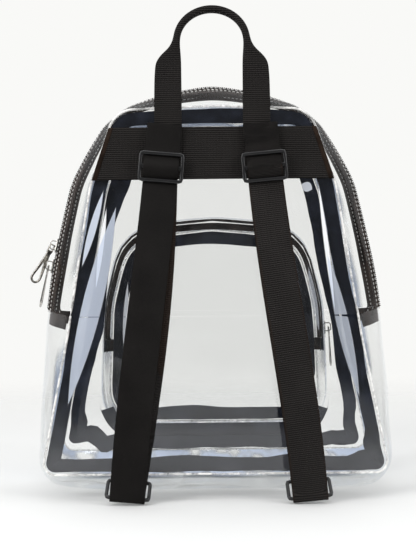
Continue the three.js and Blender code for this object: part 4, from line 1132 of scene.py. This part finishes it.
class CLEARBACKPACK_OT_tapes(bpy.types.Operator):
    """Makes the seam bindings and the cloth of both zips"""

    bl_idname = "clear_backpack.tapes"
    bl_label = "Tapes"

    def execute(self, context):
        settings = context.scene.clear_backpack
        finishes = {
            "binding": tape_finish("binding_finish", settings.binding_colour, BINDING_WEAVE * MM, 1.0),
            "zip": tape_finish("zip_cloth_finish", settings.zip_colour, ZIP_WEAVE * MM, 0.0),
        }
        slots = {"binding": "binding", "zip": "zip_tape"}
        for seed, row in enumerate(TAPES):
            add_tape(row, finishes[row["finish"]], slots[row["finish"]], seed + TAPE_SEED)
        add_pocket_seam(finishes["binding"])
        brown = tape_finish("yoke_end_finish", settings.yoke_end_colour, BINDING_WEAVE * MM, 0.0)
        add_yoke_ends(brown)
        clear = bead_finish("bead_finish", settings.bead_highlight_colour)
        for row in BEADS:
            add_bead(row, clear)
        return {"FINISHED"}


class CLEARBACKPACK_OT_zip(bpy.types.Operator):
    """Adds the zip's teeth and the stitches beside them, and finishes the coils' cores"""

    bl_idname = "clear_backpack.zip"
    bl_label = "Zip"

    def execute(self, context):
        settings = context.scene.clear_backpack
        nylon = speckled_finish("coil_finish", settings.coil_colour, "nylon")
        add_teeth(settings, nylon)
        for node in ("zip_coil", "pocket_zip_coil"):
            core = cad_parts[node]
            core.data.materials.clear()
            core.data.materials.append(nylon)
        thread = speckled_finish("thread_finish", settings.thread_colour, "thread")
        for row in STITCH_ROWS:
            add_stitches(row, settings, thread)
        return {"FINISHED"}


class CLEARBACKPACK_OT_webbing(bpy.types.Operator):
    """Makes the straps, tabs, yoke and handle"""

    bl_idname = "clear_backpack.webbing"
    bl_label = "Webbing"

    def execute(self, context):
        settings = context.scene.clear_backpack
        shade, pitch, yarn = settings.webbing_colour, settings.rib_pitch, settings.yarn_width
        ribbed = webbing_finish("webbing_finish", shade, pitch, yarn, True)
        upright = webbing_finish("upright_webbing_finish", shade, pitch, yarn, False)
        for row in BANDS:
            add_band(row, ribbed)
        for name, node in (("back_yoke", "yoke"), ("top_handle", "handle")):
            piece = copy_of(node, name)
            in_quads(piece)
            if node == "yoke":
                creased_rims(piece, CREASE_ANGLE)
            applied(piece, "SUBSURF", levels=WOVEN_LEVELS, render_levels=WOVEN_LEVELS)
            if node == "yoke":
                rounded_webbing(piece)
            smoothed(piece, WEBBING_SHADING)
            dressed(piece, upright, "bag", "webbing", node)
        return {"FINISHED"}


class CLEARBACKPACK_OT_hardware(bpy.types.Operator):
    """Rounds the sliders, pulls, tri-glides and rings"""

    bl_idname = "clear_backpack.hardware"
    bl_label = "Hardware"

    def execute(self, context):
        settings = context.scene.clear_backpack
        finishes = {
            "metal": speckled_finish("metal_finish", settings.metal_colour, "metal"),
            "plastic": speckled_finish("plastic_finish", settings.plastic_colour, "plastic"),
        }
        slots = {"metal": "nickel", "plastic": "black_plastic"}
        for row in HARDWARE:
            add_hardware(row, finishes[row["finish"]], slots[row["finish"]])
        return {"FINISHED"}


def add_light(row):
    """A softbox that looks at the middle of the bag."""
    data = bpy.data.lights.new(row["name"], "AREA")
    data.shape = "RECTANGLE"
    data.size, data.size_y = row["size"]
    data.energy = row["power"]
    lamp = bpy.data.objects.new(row["name"], data)
    bpy.context.scene.collection.objects.link(lamp)
    lamp.location = row["place"]
    lamp.rotation_euler = (Vector(LIT_POINT) - lamp.location).to_track_quat("-Z", "Y").to_euler()


class CLEARBACKPACK_OT_stage(bpy.types.Operator):
    """Adds the floor, the backdrop, the lights and the camera"""

    bl_idname = "clear_backpack.stage"
    bl_label = "Stage"

    def execute(self, context):
        settings = context.scene.clear_backpack
        scene = context.scene
        pale = colour(settings.backdrop_colour)

        bpy.ops.object.select_all(action="DESELECT")
        bpy.ops.mesh.primitive_circle_add(vertices=FLOOR_SIDES, radius=FLOOR_RADIUS, fill_type="NGON")
        floor = context.object
        floor.name = "floor"
        finish = Finish("floor_finish")
        place = finish.place()
        distance = finish.node("ShaderNodeVectorMath", {"operation": "LENGTH"}, {0: place}, output="Value")
        fade = finish.node("ShaderNodeMapRange", {"interpolation_type": "SMOOTHSTEP"},
                           {"Value": distance, 1: FLOOR_FADE[0], 2: FLOOR_FADE[1]})
        paper = finish.node("ShaderNodeBsdfPrincipled", None,
                            {"Base Color": colour(settings.floor_colour), "Roughness": 0.9,
                             "Specular IOR Level": 0.0})
        gone = finish.node("ShaderNodeBsdfTransparent")
        surface = finish.node("ShaderNodeMixShader", None, {0: fade, 1: paper, 2: gone})
        floor.data.materials.append(finish.close(surface))

        sky = Sky("studio")
        way = sky.node("ShaderNodeSeparateXYZ", None, {0: sky.place("Generated")})
        ahead = way.other("Y").between(AHEAD["start"], AHEAD["full"])
        above = way.other("Z").between(ABOVE["start"], ABOVE["full"])
        level = (ROOM_LEVEL + AHEAD["level"] * ahead + ABOVE["level"] * above).least(1.0)
        room = sky.blend(level, colour((0.0, 0.0, 0.0)), colour(ROOM_COLOUR))
        seen = sky.node("ShaderNodeLightPath", output="Is Camera Ray")
        glow = sky.node("ShaderNodeBackground", None, {"Color": sky.blend(seen, room, pale)})
        scene.world = sky.close(glow)

        for row in LIGHTS:
            add_light(row)

        camera = bpy.data.objects.new("camera", bpy.data.cameras.new("camera"))
        scene.collection.objects.link(camera)
        camera.location = CAMERA_PLACE
        camera.rotation_euler = (math.pi / 2, math.radians(CAMERA_ROLL), 0)
        camera.data.sensor_fit = "VERTICAL"
        camera.data.sensor_height = SENSOR_HEIGHT
        camera.data.lens = FOCAL_PIXELS * SENSOR_HEIGHT / IMAGE_LONG_SIDE
        camera.data.clip_start = CAMERA_NEAR
        scene.camera = camera
        scene.view_settings.view_transform = "Standard"
        scene.cycles.transparent_max_bounces = CLEAR_LAYERS
        return {"FINISHED"}


PIECES = (
    CLEARBACKPACK_OT_sheets,
    CLEARBACKPACK_OT_tapes,
    CLEARBACKPACK_OT_zip,
    CLEARBACKPACK_OT_webbing,
    CLEARBACKPACK_OT_hardware,
    CLEARBACKPACK_OT_stage,
)


class CLEARBACKPACK_PT_panel(bpy.types.Panel):
    """Lists the operators that dress the backpack"""

    bl_idname = "CLEARBACKPACK_PT_panel"
    bl_label = "Clear backpack"
    bl_space_type = "VIEW_3D"
    bl_region_type = "UI"
    bl_category = "Clear backpack"

    def draw(self, context):
        settings = context.scene.clear_backpack
        for name in settings.bl_rna.properties.keys():
            if name not in ("rna_type", "name"):
                self.layout.prop(settings, name)
        for piece in PIECES:
            self.layout.operator(piece.bl_idname)


CLASSES = (ClearBackpackSettings, *PIECES, CLEARBACKPACK_PT_panel)


def register():
    for item in CLASSES:
        bpy.utils.register_class(item)
    bpy.types.Scene.clear_backpack = bpy.props.PointerProperty(type=ClearBackpackSettings)


def unregister():
    del bpy.types.Scene.clear_backpack
    for item in reversed(CLASSES):
        bpy.utils.unregister_class(item)


def main():
    register()
    bpy.ops.clear_backpack.sheets()
    bpy.ops.clear_backpack.tapes()
    bpy.ops.clear_backpack.zip()
    bpy.ops.clear_backpack.webbing()
    bpy.ops.clear_backpack.hardware()
    bpy.ops.clear_backpack.stage()


if __name__ == "__main__":
    main()
